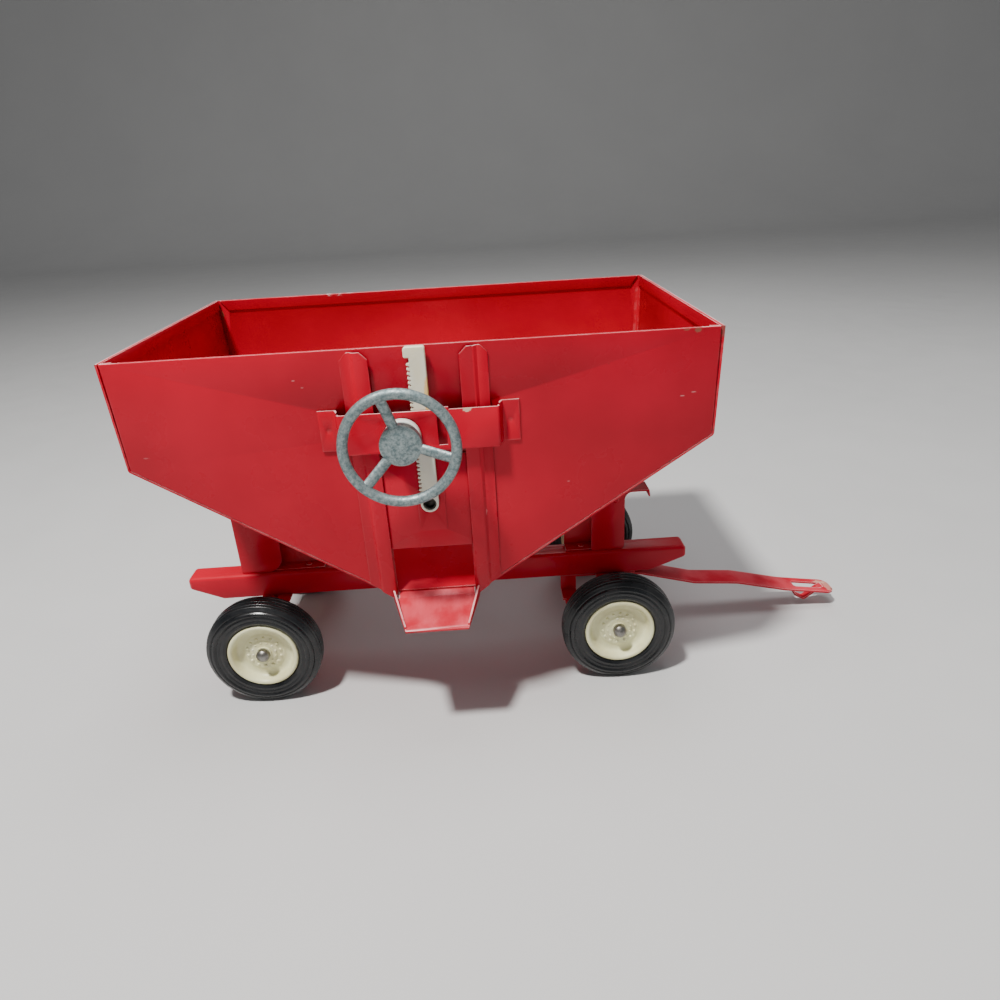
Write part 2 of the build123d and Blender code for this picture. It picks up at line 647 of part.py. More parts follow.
def make_hand_wheel():
    """Die-cast wheel: domed hub on a cone, three spokes and a round-section rim."""
    side_end = HUB_LENGTH - HUB_DOME
    ball = (HUB_RADIUS ** 2 + HUB_DOME ** 2) / (2 * HUB_DOME)
    profile = make_face(
        [
            Line((SHAFT_RADIUS, 0), (HUB_BACK_RADIUS, 0)),
            Line((HUB_BACK_RADIUS, 0), (HUB_RADIUS, HUB_CONE)),
            Line((HUB_RADIUS, HUB_CONE), (HUB_RADIUS, side_end)),
            RadiusArc((HUB_RADIUS, side_end), (0, HUB_LENGTH), -ball),
            Line((0, HUB_LENGTH), (0, HUB_BORE)),
            Line((0, HUB_BORE), (SHAFT_RADIUS, HUB_BORE)),
            Line((SHAFT_RADIUS, HUB_BORE), (SHAFT_RADIUS, 0)),
        ]
    )
    hub = revolve(Plane.XZ * profile, Axis.Z)
    wheel = Plane(origin=(0, COLLAR_FACE, 0), z_dir=(0, -1, 0)) * hub
    wheel += Plane(origin=(0, HANDWHEEL_PLANE, 0), z_dir=(0, -1, 0)) * Torus(
        HANDWHEEL_RIM_RADIUS, HANDWHEEL_RIM_SECTION)
    root_y = COLLAR_FACE - HUB_CONE - SPOKE_THICKNESS / 2 - SPOKE_ROOT_GAP
    root_radius = HUB_RADIUS / 2
    for angle in SPOKE_ANGLES:
        ux, uz = cos(radians(angle)), sin(radians(angle))
        inner = Vector(ux * root_radius, root_y, uz * root_radius)
        outer = Vector(ux * HANDWHEEL_RIM_RADIUS, HANDWHEEL_PLANE, uz * HANDWHEEL_RIM_RADIUS)
        along = outer - inner
        section = Plane(origin=inner, x_dir=(-uz, 0, ux), z_dir=along) * Ellipse(
            SPOKE_WIDTH / 2, SPOKE_THICKNESS / 2)
        wheel += extrude(section, amount=along.length)
    return Pos(PINION_X, 0, PINION_HEIGHT) * wheel


def make_hand_wheel_shaft():
    end = COLLAR_FACE - HUB_BORE
    shaft = rod((PINION_X, PANEL_BACK + SLIDE_GAP, PINION_HEIGHT), (0, -1, 0), SHAFT_RADIUS,
                PANEL_BACK + SLIDE_GAP - end)
    head = dome_rivet((PINION_X, PANEL_BACK + SLIDE_GAP, PINION_HEIGHT), (0, 1, 0),
                      SHAFT_HEAD_RADIUS, SHAFT_HEAD_HEIGHT)
    return shaft + head


# ---------------------------------------------------------------- chute
def chute_z(y):
    """Top of the chute's floor, which continues the hopper floor's underside."""
    return THROAT_HEIGHT + (y - PANEL_FACE) * FLOOR_SLOPE


def make_discharge_chute():
    back = PANEL_BACK + CHUTE_LAP
    step = RAIL_FACE - CHUTE_CLEAR
    lip = PANEL_FACE - CHUTE_LENGTH
    drop = SHEET * sqrt(1 + FLOOR_SLOPE * FLOOR_SLOPE)
    section = polygon([(back, chute_z(back)), (lip, chute_z(lip)),
                       (lip, chute_z(lip) - drop), (back, chute_z(back) - drop)])
    slab = lengthwise(section, -BOX_LENGTH / 2, BOX_LENGTH)
    plan = polygon([
        (-CHUTE_NECK_HALF, back), (-CHUTE_NECK_HALF, step), (-CHUTE_BACK_HALF, step),
        (-CHUTE_LIP_HALF, lip), (CHUTE_LIP_HALF, lip), (CHUTE_BACK_HALF, step),
        (CHUTE_NECK_HALF, step), (CHUTE_NECK_HALF, back),
    ])
    chute = slab & flat(plan, 0, RIM_HEIGHT)
    lean = Vector(CHUTE_BACK_HALF - CHUTE_LIP_HALF, step - lip, 0)
    inward = Vector(-lean.Y, lean.X, 0).normalized()
    wall_lip = lip + CHUTE_WALL_BACK
    lip_half = CHUTE_LIP_HALF + CHUTE_WALL_BACK * lean.X / lean.Y
    wire = Polyline(
        (CHUTE_BACK_HALF, step, chute_z(step) - drop / 2),
        (lip_half, wall_lip, chute_z(wall_lip) - drop / 2),
        (lip_half, wall_lip, chute_z(wall_lip) + CHUTE_WALL_LOW),
        (CHUTE_BACK_HALF, step, chute_z(step) + CHUTE_WALL_HIGH),
        close=True,
    )
    wall = extrude(make_face(wire), amount=SHEET, dir=inward)
    return chute + wall + mirror(wall, Plane.YZ)


# ---------------------------------------------------------------- frame and supports
def make_frame_channel():
    """Inverted channel; its top bend runs on down both noses, which taper up and are closed."""
    outline = polygon([
        (FRAME_KNEE_REAR, FRAME_BOTTOM), (FRAME_KNEE_FRONT, FRAME_BOTTOM),
        (FRAME_FRONT, FRAME_NOSE_BOTTOM), (FRAME_FRONT, FRAME_TOP),
        (FRAME_REAR, FRAME_TOP), (FRAME_REAR, FRAME_NOSE_BOTTOM),
    ])
    outline = rounded(outline, [
        (FRAME_FRONT, FRAME_TOP, NOSE_ROUND), (FRAME_REAR, FRAME_TOP, NOSE_ROUND),
        (FRAME_KNEE_REAR, FRAME_BOTTOM, KNEE_ROUND), (FRAME_KNEE_FRONT, FRAME_BOTTOM, KNEE_ROUND),
    ])
    body = upright(outline, -FRAME_HALF, 2 * FRAME_HALF)
    top_face = body.faces().sort_by(Axis.Z)[-1]
    long_edges = top_face.edges().filter_by(Axis.X)
    body = fillet(long_edges, FRAME_ROUND)
    hollow = slab_box(FRAME_REAR + FRAME_SHEET, FRAME_FRONT - FRAME_SHEET,
                      -FRAME_HALF + FRAME_SHEET, FRAME_HALF - FRAME_SHEET,
                      0, FRAME_TOP - FRAME_SHEET)
    hollow = fillet(hollow.faces().sort_by(Axis.Z)[-1].edges().filter_by(Axis.X),
                    FRAME_ROUND - FRAME_SHEET)
    channel = body - hollow
    for x in (KINGPIN_X, REAR_RIVET_X):
        channel -= rod((x, 0, FRAME_BOTTOM), (0, 0, 1), KINGPIN_RADIUS, FRAME_TOP)
    return channel


def support_plate(outer, inner, inner_round, outer_round, y_front, gusset):
    """One upright side of a support; gusset is where its long foot ends, or None."""
    points = [(outer, FRAME_TOP), (outer, end_slope_z(outer)), (inner, end_slope_z(inner))]
    rounds = []
    if gusset is None:
        points.append((inner, FRAME_TOP))
        rounds.append((inner, FRAME_TOP, inner_round))
    else:
        points += [(inner, FRAME_TOP + 3 * GUSSET_HEIGHT), (gusset, FRAME_TOP + GUSSET_HEIGHT),
                   (gusset, FRAME_TOP)]
    rounds.append((outer, FRAME_TOP, outer_round))
    return upright(rounded(polygon(points), rounds), y_front, SHEET)


def make_support(outer, inner, inner_round, outer_round, foot_end, web_top):
    """Folded bracket: web across the outer end, two side plates, top flange and foot."""
    side = 1 if outer > 0 else -1
    near = support_plate(outer, inner, inner_round, outer_round, -SUPPORT_HALF, None)
    far = support_plate(outer, inner, inner_round, outer_round, SUPPORT_HALF - SHEET, foot_end)
    web_x = sorted((outer, outer - side * SHEET))
    web = slab_box(*web_x, -SUPPORT_HALF, SUPPORT_HALF, FRAME_TOP + outer_round, web_top)
    reach = sorted((outer - side * outer_round, foot_end))
    foot = slab_box(*reach, -SUPPORT_HALF + SHEET, SUPPORT_HALF, FRAME_TOP, FRAME_TOP + SHEET)
    drop = SHEET * sqrt(1 + END_SLOPE * END_SLOPE)
    flange_points = [
        (outer, end_slope_z(outer)), (inner, end_slope_z(inner)),
        (inner, end_slope_z(inner) - drop), (outer, end_slope_z(outer) - drop),
    ]
    flange = upright(polygon(flange_points), -SUPPORT_HALF, 2 * SUPPORT_HALF)
    bracket = near + far + web + foot + flange
    rivet_x = KINGPIN_X if side > 0 else REAR_RIVET_X
    bracket -= rod((rivet_x, 0, FRAME_TOP - 1), (0, 0, 1), KINGPIN_RADIUS, SHEET + 2)
    return bracket


def make_front_support():
    web_top = LIP_HEIGHT - LIP_ROUND
    bracket = make_support(FRONT_SUPPORT_OUTER, FRONT_SUPPORT_INNER, 1.0, FRONT_CORNER,
                           SUPPORT_FOOT_END, web_top)
    outer = FRONT_SUPPORT_OUTER
    tip = outer + LIP_REACH
    lip_path = [(outer, web_top - 1), (outer, LIP_HEIGHT), (tip, LIP_HEIGHT)]
    tip_path = [(tip, LIP_HEIGHT + SHEET), (tip + LIP_LEAN, LIP_HEIGHT - LIP_DROP)]
    lip_face = strip(lip_path, SHEET, LIP_ROUND - SHEET) + strip(tip_path, -SHEET, 0)
    lip = upright(lip_face, -SUPPORT_HALF, SUPPORT_HALF + LIP_FAR_EDGE)
    return bracket + lip


def make_rear_support():
    web_top = end_slope_z(REAR_SUPPORT_OUTER + SHEET)
    return make_support(REAR_SUPPORT_OUTER, REAR_SUPPORT_INNER, REAR_CORNER, 1.0,
                        -SUPPORT_FOOT_END, web_top)


def make_support_rivets():
    top = FRAME_TOP + SHEET
    heads = [
        dome_rivet((x, 0, top), (0, 0, 1), RIVET_RADIUS, RIVET_DOME)
        for x in (FOOT_RIVET_X, -FOOT_RIVET_X)
    ]
    heads += [
        dome_rivet((x, -SUPPORT_HALF, SIDE_RIVET_Z), (0, -1, 0), RIVET_RADIUS, RIVET_DOME)
        for x in (SIDE_RIVET_FRONT, SIDE_RIVET_REAR)
    ]
    return Compound(children=[Solid(head.solid().wrapped) for head in heads])


# ---------------------------------------------------------------- bolsters, axles, drawbar
def bolster_plate(axle_x, rivet_x, top, leg_hole, pivot_hole):
    """Staple-shaped bolster: a flat top and two legs that hold the axle rod."""
    side = 1 if rivet_x > axle_x else -1
    x_low, x_high = sorted((axle_x - side * BOLSTER_BEHIND, rivet_x + side * BOLSTER_AHEAD))
    points = [
        (-BOLSTER_HALF, top - BOLSTER_LEG), (-BOLSTER_HALF, top),
        (BOLSTER_HALF, top), (BOLSTER_HALF, top - BOLSTER_LEG),
    ]
    section = strip(points, -BOLSTER_SHEET, BOLSTER_BEND)
    plate = lengthwise(section, x_low, x_high - x_low)
    leg_end = axle_x + side * BOLSTER_BEHIND
    for end in (-1, 1):
        spare = slab_box(*sorted((leg_end, rivet_x + side * (BOLSTER_AHEAD + 1))),
                         *sorted((end * (BOLSTER_HALF - BOLSTER_SHOULDER), end * (BOLSTER_HALF + 1))),
                         top - BOLSTER_LEG - 1, top + 1)
        plate -= spare
    plate -= rod((axle_x, -BOLSTER_HALF - 1, AXLE_HEIGHT), (0, 1, 0), leg_hole, 2 * BOLSTER_HALF + 2)
    plate -= rod((rivet_x, 0, top - 3), (0, 0, 1), pivot_hole, 6)
    return plate


def make_front_bolster():
    """Front bolster, free to turn on the kingpin, with a tab that carries the drawbar."""
    bolster = bolster_plate(AXLE_FRONT_X, KINGPIN_X, BOLSTER_TOP, AXLE_RADIUS,
                            KINGPIN_RADIUS + RUNNING_GAP)
    front = KINGPIN_X + BOLSTER_AHEAD
    bolster += slab_box(front, front + TAB_REACH, -TAB_HALF, TAB_HALF, BOLSTER_UNDER, BOLSTER_TOP)
    for y in (-TONGUE_RIVET_Y, TONGUE_RIVET_Y):
        bolster -= rod((front + TAB_REACH / 2, y, BOLSTER_UNDER - 1), (0, 0, 1),
                       TONGUE_RIVET_RADIUS, 3)
    return bolster


def make_front_bolster_strap():
    """Strap behind the bolster: an ear folded down, a foot folded out and a curled end."""
    front = AXLE_FRONT_X - BOLSTER_BEHIND
    half = FRAME_HALF
    arm = slab_box(STRAP_REAR, front, -half, half, BOLSTER_UNDER, BOLSTER_TOP)
    ear_low = BOLSTER_UNDER - STRAP_EAR_HEIGHT
    path = [
        (-half + 3, BOLSTER_TOP), (-half, BOLSTER_TOP), (-half, ear_low),
        (-half - STRAP_FOOT, ear_low),
    ]
    width = STRAP_EAR_FRONT - STRAP_REAR
    fold = lengthwise(strip(path, SHEET, STRAP_BEND), STRAP_REAR, width)
    curl_start = (STRAP_REAR + STRAP_CURL_INSET, -half - STRAP_FOOT,
                  ear_low - STRAP_CURL + SHEET / 2)
    curl = rod(curl_start, (1, 0, 0), STRAP_CURL, width - 2 * STRAP_CURL_INSET)
    curl = fillet(curl.edges().filter_by(GeomType.CIRCLE), STRAP_CURL_ROUND)
    return arm + fold + curl


def make_rear_axle_bracket():
    return bolster_plate(AXLE_REAR_X, REAR_RIVET_X, FRAME_BOTTOM, AXLE_RADIUS, KINGPIN_RADIUS)


def make_kingpin():
    """Rivet that the front bolster turns on: head under the drawbar, top head on the foot."""
    low = TONGUE_TOP - TONGUE_SHEET - PIVOT_GAP
    top = FRAME_TOP + SHEET
    shank = rod((KINGPIN_X, 0, low), (0, 0, 1), KINGPIN_RADIUS, top - low)
    return (shank + dome_rivet((KINGPIN_X, 0, low), (0, 0, -1), KINGPIN_HEAD_RADIUS, KINGPIN_HEAD)
            + dome_rivet((KINGPIN_X, 0, top), (0, 0, 1), KINGPIN_HEAD_RADIUS, KINGPIN_HEAD))


def make_rear_bracket_rivet():
    low = FRAME_BOTTOM - BOLSTER_SHEET
    top = FRAME_TOP + SHEET
    shank = rod((REAR_RIVET_X, 0, low), (0, 0, 1), KINGPIN_RADIUS, top - low)
    return (shank
            + dome_rivet((REAR_RIVET_X, 0, low), (0, 0, -1), KINGPIN_HEAD_RADIUS, KINGPIN_HEAD)
            + dome_rivet((REAR_RIVET_X, 0, top), (0, 0, 1), KINGPIN_HEAD_RADIUS, KINGPIN_HEAD))


def make_rivet_spacers():
    """Short tubes inside the channel that keep the two large rivets from crushing it."""
    top = FRAME_TOP - FRAME_SHEET
    spacers = []
    for x in (KINGPIN_X, REAR_RIVET_X):
        tube = rod((x, 0, FRAME_BOTTOM), (0, 0, 1), SPACER_RADIUS, top - FRAME_BOTTOM)
        tube -= rod((x, 0, FRAME_BOTTOM - 1), (0, 0, 1), KINGPIN_RADIUS, FRAME_TOP)
        spacers.append(Solid(tube.solid().wrapped))
    return Compound(children=spacers)


def make_axle_rod(axle_x):
    return rod((axle_x, -AXLE_HALF, AXLE_HEIGHT), (0, 1, 0), AXLE_RADIUS, 2 * AXLE_HALF)


def make_axle_caps(axle_x):
    """Domed push-on caps on the ends of an axle rod."""
    caps = []
    for side in (-1, 1):
        inner = side * (AXLE_HALF - CAP_GRIP)
        skirt = rod((axle_x, inner, AXLE_HEIGHT), (0, side, 0), CAP_RADIUS, CAP_SKIRT)
        dome = dome_rivet((axle_x, inner + side * CAP_SKIRT, AXLE_HEIGHT), (0, side, 0),
                          CAP_RADIUS, CAP_LENGTH - CAP_GRIP)
        cap = skirt + dome
        cap -= rod((axle_x, inner - side, AXLE_HEIGHT), (0, side, 0), AXLE_RADIUS, CAP_GRIP + 1)
        caps.append(Solid(cap.solid().wrapped))
    return Compound(children=caps)


def tongue_points():
    """Top line of the drawbar from its rear end to its tip."""
    top = TONGUE_TOP
    return [
        (AXLE_FRONT_X + TONGUE_REAR, top), (TONGUE_BEND_X, top),
        (TONGUE_LOW_X, top - TONGUE_LOW_DROP), (TONGUE_LEVEL_X, top - TONGUE_LEVEL_DROP),
        (TONGUE_FALL_X, top - TONGUE_FALL_DROP), (TONGUE_TIP_X, top - TONGUE_TIP_DROP),
    ]


def tip_slope():
    rise = TONGUE_TIP_DROP - TONGUE_FALL_DROP
    return -rise / (TONGUE_TIP_X - TONGUE_FALL_X)


def tip_top_z(x):
    """Top of the drawbar's flat end."""
    return TONGUE_TOP - TONGUE_TIP_DROP + tip_slope() * (x - TONGUE_TIP_X)


def make_tongue():
    """Flat drawbar with a hitch slot and the hook that is lanced out of the slot's front end."""
    points = tongue_points()
    section = strip(points, -TONGUE_SHEET, TONGUE_BEND_RADIUS)
    tongue = upright(section, -TONGUE_HALF, 2 * TONGUE_HALF)
    rear_x = points[0][0]
    plan = rounded(polygon([
        (rear_x, -TONGUE_HALF), (TONGUE_TIP_X, -TONGUE_HALF),
        (TONGUE_TIP_X, TONGUE_HALF), (rear_x, TONGUE_HALF),
    ]), [(TONGUE_TIP_X, side * TONGUE_HALF, TONGUE_TIP_ROUND) for side in (-1, 1)])
    tongue = tongue & flat(plan, -20, 80)
    slot_front = TONGUE_TIP_X - HITCH_LAND
    slot_middle = slot_front - HITCH_SLOT_LENGTH / 2
    slot = Pos(slot_middle, 0) * RectangleRounded(HITCH_SLOT_LENGTH, 2 * HITCH_SLOT_HALF,
                                                  HITCH_SLOT_ROUND)
    tongue -= flat(slot, -20, 50)
    tongue -= rod((KINGPIN_X, 0, TONGUE_TOP - 3), (0, 0, 1), KINGPIN_RADIUS + RUNNING_GAP, 6)
    front = KINGPIN_X + BOLSTER_AHEAD
    for y in (-TONGUE_RIVET_Y, TONGUE_RIVET_Y):
        tongue -= rod((front + TAB_REACH / 2, y, TONGUE_TOP - 3), (0, 0, 1), TONGUE_RIVET_RADIUS, 6)
    root_z = tip_top_z(slot_front) - TONGUE_SHEET / 2
    hook_path = [
        (slot_front + HOOK_ROOT, root_z), (slot_front - HOOK_NECK, root_z - HOOK_NECK_DROP),
        (slot_front - HOOK_BACK, root_z - HOOK_DEPTH),
        (slot_front - HOOK_CURL_BACK, root_z - HOOK_DEPTH + HOOK_CURL_UP),
    ]
    hook = upright(strip(hook_path, -HOOK_SHEET, HOOK_BEND), -HOOK_HALF, 2 * HOOK_HALF)
    return tongue + hook


def make_tongue_rivets():
    x = KINGPIN_X + BOLSTER_AHEAD + TAB_REACH / 2
    low = TONGUE_TOP - TONGUE_SHEET
    rivets = []
    for y in (-TONGUE_RIVET_Y, TONGUE_RIVET_Y):
        rivet = rod((x, y, low), (0, 0, 1), TONGUE_RIVET_RADIUS, BOLSTER_TOP - low)
        rivet += dome_rivet((x, y, low), (0, 0, -1), TONGUE_RIVET_HEAD, TONGUE_RIVET_DOME)
        rivets.append(Solid(rivet.solid().wrapped))
    return Compound(children=rivets)


# ---------------------------------------------------------------- wheels
def tyre_profile():
    """Half section of a tyre as (radius, u): ribbed tread, stepped sidewalls, bead."""
    r = WHEEL_RADIUS
    w = TYRE_WIDTH
    outer_wall = [
        (BEAD_RADIUS, w - 1.6), (BEAD_RADIUS + 0.9, w - 0.7), (BEAD_RADIUS + 2.0, w - 0.7),
        (BEAD_RADIUS + 2.4, w - 0.2), (BEAD_RADIUS + 3.2, w - 0.2), (BEAD_RADIUS + 3.6, w - 0.5),
        (r - 5.4, w - 0.2), (r - 4.8, w), (r - 4.0, w), (r - 3.6, w - 0.5),
        (r - 2.0, w - 1.3),
    ]
    inner_wall = [(radius, w - u) for radius, u in outer_wall]
    shoulder = w - 2.2
    groove, rib_count = 0.55, 5
    land = (2 * shoulder - w) / rib_count
    tread = [(r - 0.7, shoulder + 0.3)]
    for i in range(rib_count):
        start = shoulder - i * land
        crown = r - 0.35 * abs(2 * i - rib_count + 1) / (rib_count - 1)
        tread += [(crown, start - 0.25), (crown, start - land + 0.35)]
        if i < rib_count - 1:
            tread += [(crown - groove, start - land + 0.2), (crown - groove, start - land - 0.1)]
    tread.append((r - 0.7, w - shoulder - 0.3))
    return outer_wall + tread + inner_wall[::-1]


def wheel_place(axle_x, side):
    """Plane at a wheel's inner sidewall, with its normal pointing outwards."""
    return Plane(origin=(axle_x, side * WHEEL_INNER_FACE, AXLE_HEIGHT),
                 x_dir=(1, 0, 0), z_dir=(0, side, 0))


def spun(profile):
    """Solid of revolution about the wheel's axis from a (radius, u) outline."""
    return revolve(Plane.XZ * polygon(profile), Axis.Z)


def make_tyre(axle_x, side):
    tyre = spun(tyre_profile())
    return wheel_place(axle_x, side) * tyre


def rim_profile():
    """Half section of a rim as (radius, u): outer lip, recessed disc, hub tube, back hollow."""
    inner_end = BOLSTER_HALF + SIDE_PLAY - WHEEL_INNER_FACE
    bore = AXLE_RADIUS + AXLE_GAP
    barrel = BEAD_RADIUS
    face = RIM_FACE_U
    return [
        (bore, inner_end), (HUB_TUBE_RADIUS, inner_end), (HUB_TUBE_RADIUS, face - RIM_WALL),
        (barrel - RIM_WALL - 1.0, face - RIM_WALL), (barrel - RIM_WALL, 1.4), (barrel - 0.1, 1.4),
        (barrel, 2.2), (barrel, TYRE_WIDTH - 2.2), (RIM_LIP_RADIUS, RIM_LIP_U),
        (RIM_LIP_RADIUS - 0.6, RIM_LIP_U + 0.2), (RIM_LIP_RADIUS - 1.6, RIM_LIP_U),
        (RIM_WELL_RADIUS + 1.2, face + 1.0), (RIM_WELL_RADIUS, face + 0.2),
        (RIM_WELL_RADIUS - 1.0, face), (LUG_RING_RADIUS + 1.9, face),
        (LUG_RING_RADIUS + 1.5, face + 0.35), (LUG_RING_RADIUS - 1.5, face + 0.35),
        (HUB_BOSS_RADIUS, face + 0.9), (CAP_RADIUS + 0.6, face + 1.1),
        (CAP_RADIUS + 0.4, WHEEL_SEAT), (bore, WHEEL_SEAT),
    ]


def make_rim(axle_x, side):
    rim = spun(rim_profile())
    for i in range(LUG_COUNT):
        angle = 2 * pi * i / LUG_COUNT
        x, y = LUG_RING_RADIUS * cos(angle), LUG_RING_RADIUS * sin(angle)
        seat = RIM_FACE_U + 0.25
        rim += dome_rivet((x, y, seat), (0, 0, 1), LUG_RADIUS, LUG_HEIGHT)
    return wheel_place(axle_x, side) * rim


# ---------------------------------------------------------------- assembly
parts = {
    "discharge_panel": make_discharge_panel(),
    "far_wall_and_floor": make_far_and_floor_sheet(),
    "front_end_sheet": make_end_sheet(1),
    "rear_end_sheet": make_end_sheet(-1),
    "front_guide_rail": make_guide_rail(1),
    "rear_guide_rail": make_guide_rail(-1),
    "bridge_bracket": make_bridge_bracket(),
    "gate_plate": make_gate_plate(),
    "gate_eyelet": make_gate_eyelet(),
    "gate_rack": make_gate_rack(),
    "rack_pinion": make_rack_pinion(),
    "hand_wheel": make_hand_wheel(),
    "hand_wheel_shaft": make_hand_wheel_shaft(),
    "discharge_chute": make_discharge_chute(),
    "frame_channel": make_frame_channel(),
    "front_support": make_front_support(),
    "rear_support": make_rear_support(),
    "support_rivets": make_support_rivets(),
    "front_bolster": make_front_bolster(),
    "front_bolster_strap": make_front_bolster_strap(),
    "rear_axle_bracket": make_rear_axle_bracket(),
    "kingpin": make_kingpin(),
    "rear_bracket_rivet": make_rear_bracket_rivet(),
    "rivet_spacers": make_rivet_spacers(),
    "front_axle_rod": make_axle_rod(AXLE_FRONT_X),
    "rear_axle_rod": make_axle_rod(AXLE_REAR_X),
    "front_axle_caps": make_axle_caps(AXLE_FRONT_X),
    "rear_axle_caps": make_axle_caps(AXLE_REAR_X),
    "tongue": make_tongue(),
    "tongue_rivets": make_tongue_rivets(),
}
for end, axle_x in (("front", AXLE_FRONT_X), ("rear", AXLE_REAR_X)):
    for name, side in (("near", -1), ("far", 1)):
        parts[f"{end}_{name}_tyre"] = make_tyre(axle_x, side)
        parts[f"{end}_{name}_rim"] = make_rim(axle_x, side)

boxes = [part.bounding_box() for part in parts.values()]
ORIGIN_X = (min(b.min.X for b in boxes) + max(b.max.X for b in boxes)) / 2
ORIGIN_Y = (min(b.min.Y for b in boxes) + max(b.max.Y for b in boxes)) / 2
ORIGIN_Z = min(b.min.Z for b in boxes)

os.makedirs("parts", exist_ok=True)
for name, part in parts.items():
    export_step(Pos(-ORIGIN_X, -ORIGIN_Y, -ORIGIN_Z) * part, f"parts/{name}.step")
print("origin", ORIGIN_X, ORIGIN_Y, ORIGIN_Z)
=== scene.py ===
import json
import math

import bmesh
import bpy
from mathutils import Matrix, Vector


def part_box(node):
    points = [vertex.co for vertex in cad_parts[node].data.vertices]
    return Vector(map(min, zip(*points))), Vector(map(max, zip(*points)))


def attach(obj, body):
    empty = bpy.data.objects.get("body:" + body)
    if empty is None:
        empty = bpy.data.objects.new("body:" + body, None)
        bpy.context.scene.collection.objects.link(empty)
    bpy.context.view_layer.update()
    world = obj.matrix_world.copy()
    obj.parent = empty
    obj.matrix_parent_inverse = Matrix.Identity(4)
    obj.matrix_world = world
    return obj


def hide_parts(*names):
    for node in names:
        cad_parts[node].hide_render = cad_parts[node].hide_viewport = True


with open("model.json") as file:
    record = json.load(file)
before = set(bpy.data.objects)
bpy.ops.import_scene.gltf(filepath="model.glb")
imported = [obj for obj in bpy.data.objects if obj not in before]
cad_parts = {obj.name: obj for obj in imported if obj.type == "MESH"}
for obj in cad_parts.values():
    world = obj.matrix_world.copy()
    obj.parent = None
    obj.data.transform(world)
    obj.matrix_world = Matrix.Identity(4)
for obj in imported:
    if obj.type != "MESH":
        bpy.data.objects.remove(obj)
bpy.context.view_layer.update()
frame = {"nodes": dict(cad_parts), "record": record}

MM = 0.001

# ---------------------------------------------------------------- camera and studio
CAMERA_PLACE = Vector((-14.3, -348.9, 239.7)) * MM
CAMERA_DOWN = 24.25         # degrees below the horizon
CAMERA_RIGHT = 1.03         # degrees away from +Y, towards +X
CAMERA_ROLL = -3.35
LENS_MM, SENSOR_MM = 26.59, 36.0

# Soft round lights as (name, place, aim, diameter, power in watts, colour), in metres.
LIGHTS = [
    ("key", (-0.32, -0.42, 1.17), (0, 0, 0.09), 0.12, 25.0, (1.0, 0.98, 0.95)),
    ("front", (-0.15, -1.3, 0.55), (0, 0, 0.09), 0.9, 1.1, (1.0, 0.99, 0.97)),
    ("top", (0.05, 0.10, 1.30), (0, 0.03, 0.1), 0.5, 5.0, (1.0, 1.0, 1.0)),
    ("side", (1.0, 0.1, 0.6), (0, 0, 0.09), 0.8, 1.2, (0.95, 0.97, 1.0)),
    ("back", (0.1, 1.0, 0.9), (0, 0, 0.1), 0.7, 2.0, (1.0, 1.0, 1.0)),
]
SKY_COLOUR, SKY_STRENGTH = (0.92, 0.93, 0.95, 1), 0.20

# The floor runs from FLOOR_NEAR to FLOOR_FAR along Y, then bends up into a backdrop.
FLOOR_NEAR, FLOOR_FAR, FLOOR_HALF_WIDTH = -2.5, 2.2, 4.0
BEND_RADIUS, BEND_STEPS, BACKDROP_TOP = 0.8, 18, 3.5


def add_camera():
    down, right, roll = map(math.radians, (CAMERA_DOWN, CAMERA_RIGHT, CAMERA_ROLL))
    side = Vector((math.cos(right), -math.sin(right), 0))
    ahead = Vector((math.sin(right) * math.cos(down), math.cos(right) * math.cos(down), -math.sin(down)))
    up = side.cross(ahead)
    x_axis = math.cos(roll) * side + math.sin(roll) * up
    y_axis = -math.sin(roll) * side + math.cos(roll) * up
    data = bpy.data.cameras.new("camera")
    data.lens, data.sensor_width = LENS_MM, SENSOR_MM
    data.clip_start, data.clip_end = 0.01, 20
    camera = bpy.data.objects.new("camera", data)
    turn = Matrix((x_axis, y_axis, -ahead)).transposed().to_4x4()
    camera.matrix_world = Matrix.Translation(CAMERA_PLACE) @ turn
    bpy.context.scene.collection.objects.link(camera)
    bpy.context.scene.camera = camera


def area_light(name, place, aim, size, power, colour):
    data = bpy.data.lights.new(name, "AREA")
    data.shape, data.size, data.energy, data.color = "DISK", size, power, colour
    light = bpy.data.objects.new(name, data)
    light.location = place
    light.rotation_euler = (Vector(aim) - Vector(place)).to_track_quat("-Z", "Y").to_euler()
    bpy.context.scene.collection.objects.link(light)


def add_studio():
    for light in LIGHTS:
        area_light(*light)
    world = bpy.data.worlds.new("studio")
    world.use_nodes = True
    background = world.node_tree.nodes["Background"]
    background.inputs["Color"].default_value = SKY_COLOUR
    background.inputs["Strength"].default_value = SKY_STRENGTH
    bpy.context.scene.world = world


def add_floor():
    """Pale floor that curves up into a backdrop far behind the object."""
    angles = [math.radians(90 * i / BEND_STEPS) for i in range(BEND_STEPS + 1)]
    bend = [(FLOOR_FAR + BEND_RADIUS * math.sin(a), BEND_RADIUS - BEND_RADIUS * math.cos(a))
            for a in angles]
    line = [(FLOOR_NEAR, 0.0)] + bend + [(FLOOR_FAR + BEND_RADIUS, BACKDROP_TOP)]
    mesh = bpy.data.meshes.new("floor")
    vertices = [(x, y, z) for y, z in line for x in (-FLOOR_HALF_WIDTH, FLOOR_HALF_WIDTH)]
    faces = [(2 * i, 2 * i + 1, 2 * i + 3, 2 * i + 2) for i in range(len(line) - 1)]
    mesh.from_pydata(vertices, [], faces)
    for polygon in mesh.polygons:
        polygon.use_smooth = True
    floor = bpy.data.objects.new("floor", mesh)
    bpy.context.scene.collection.objects.link(floor)
    mesh.materials.append(floor_material())


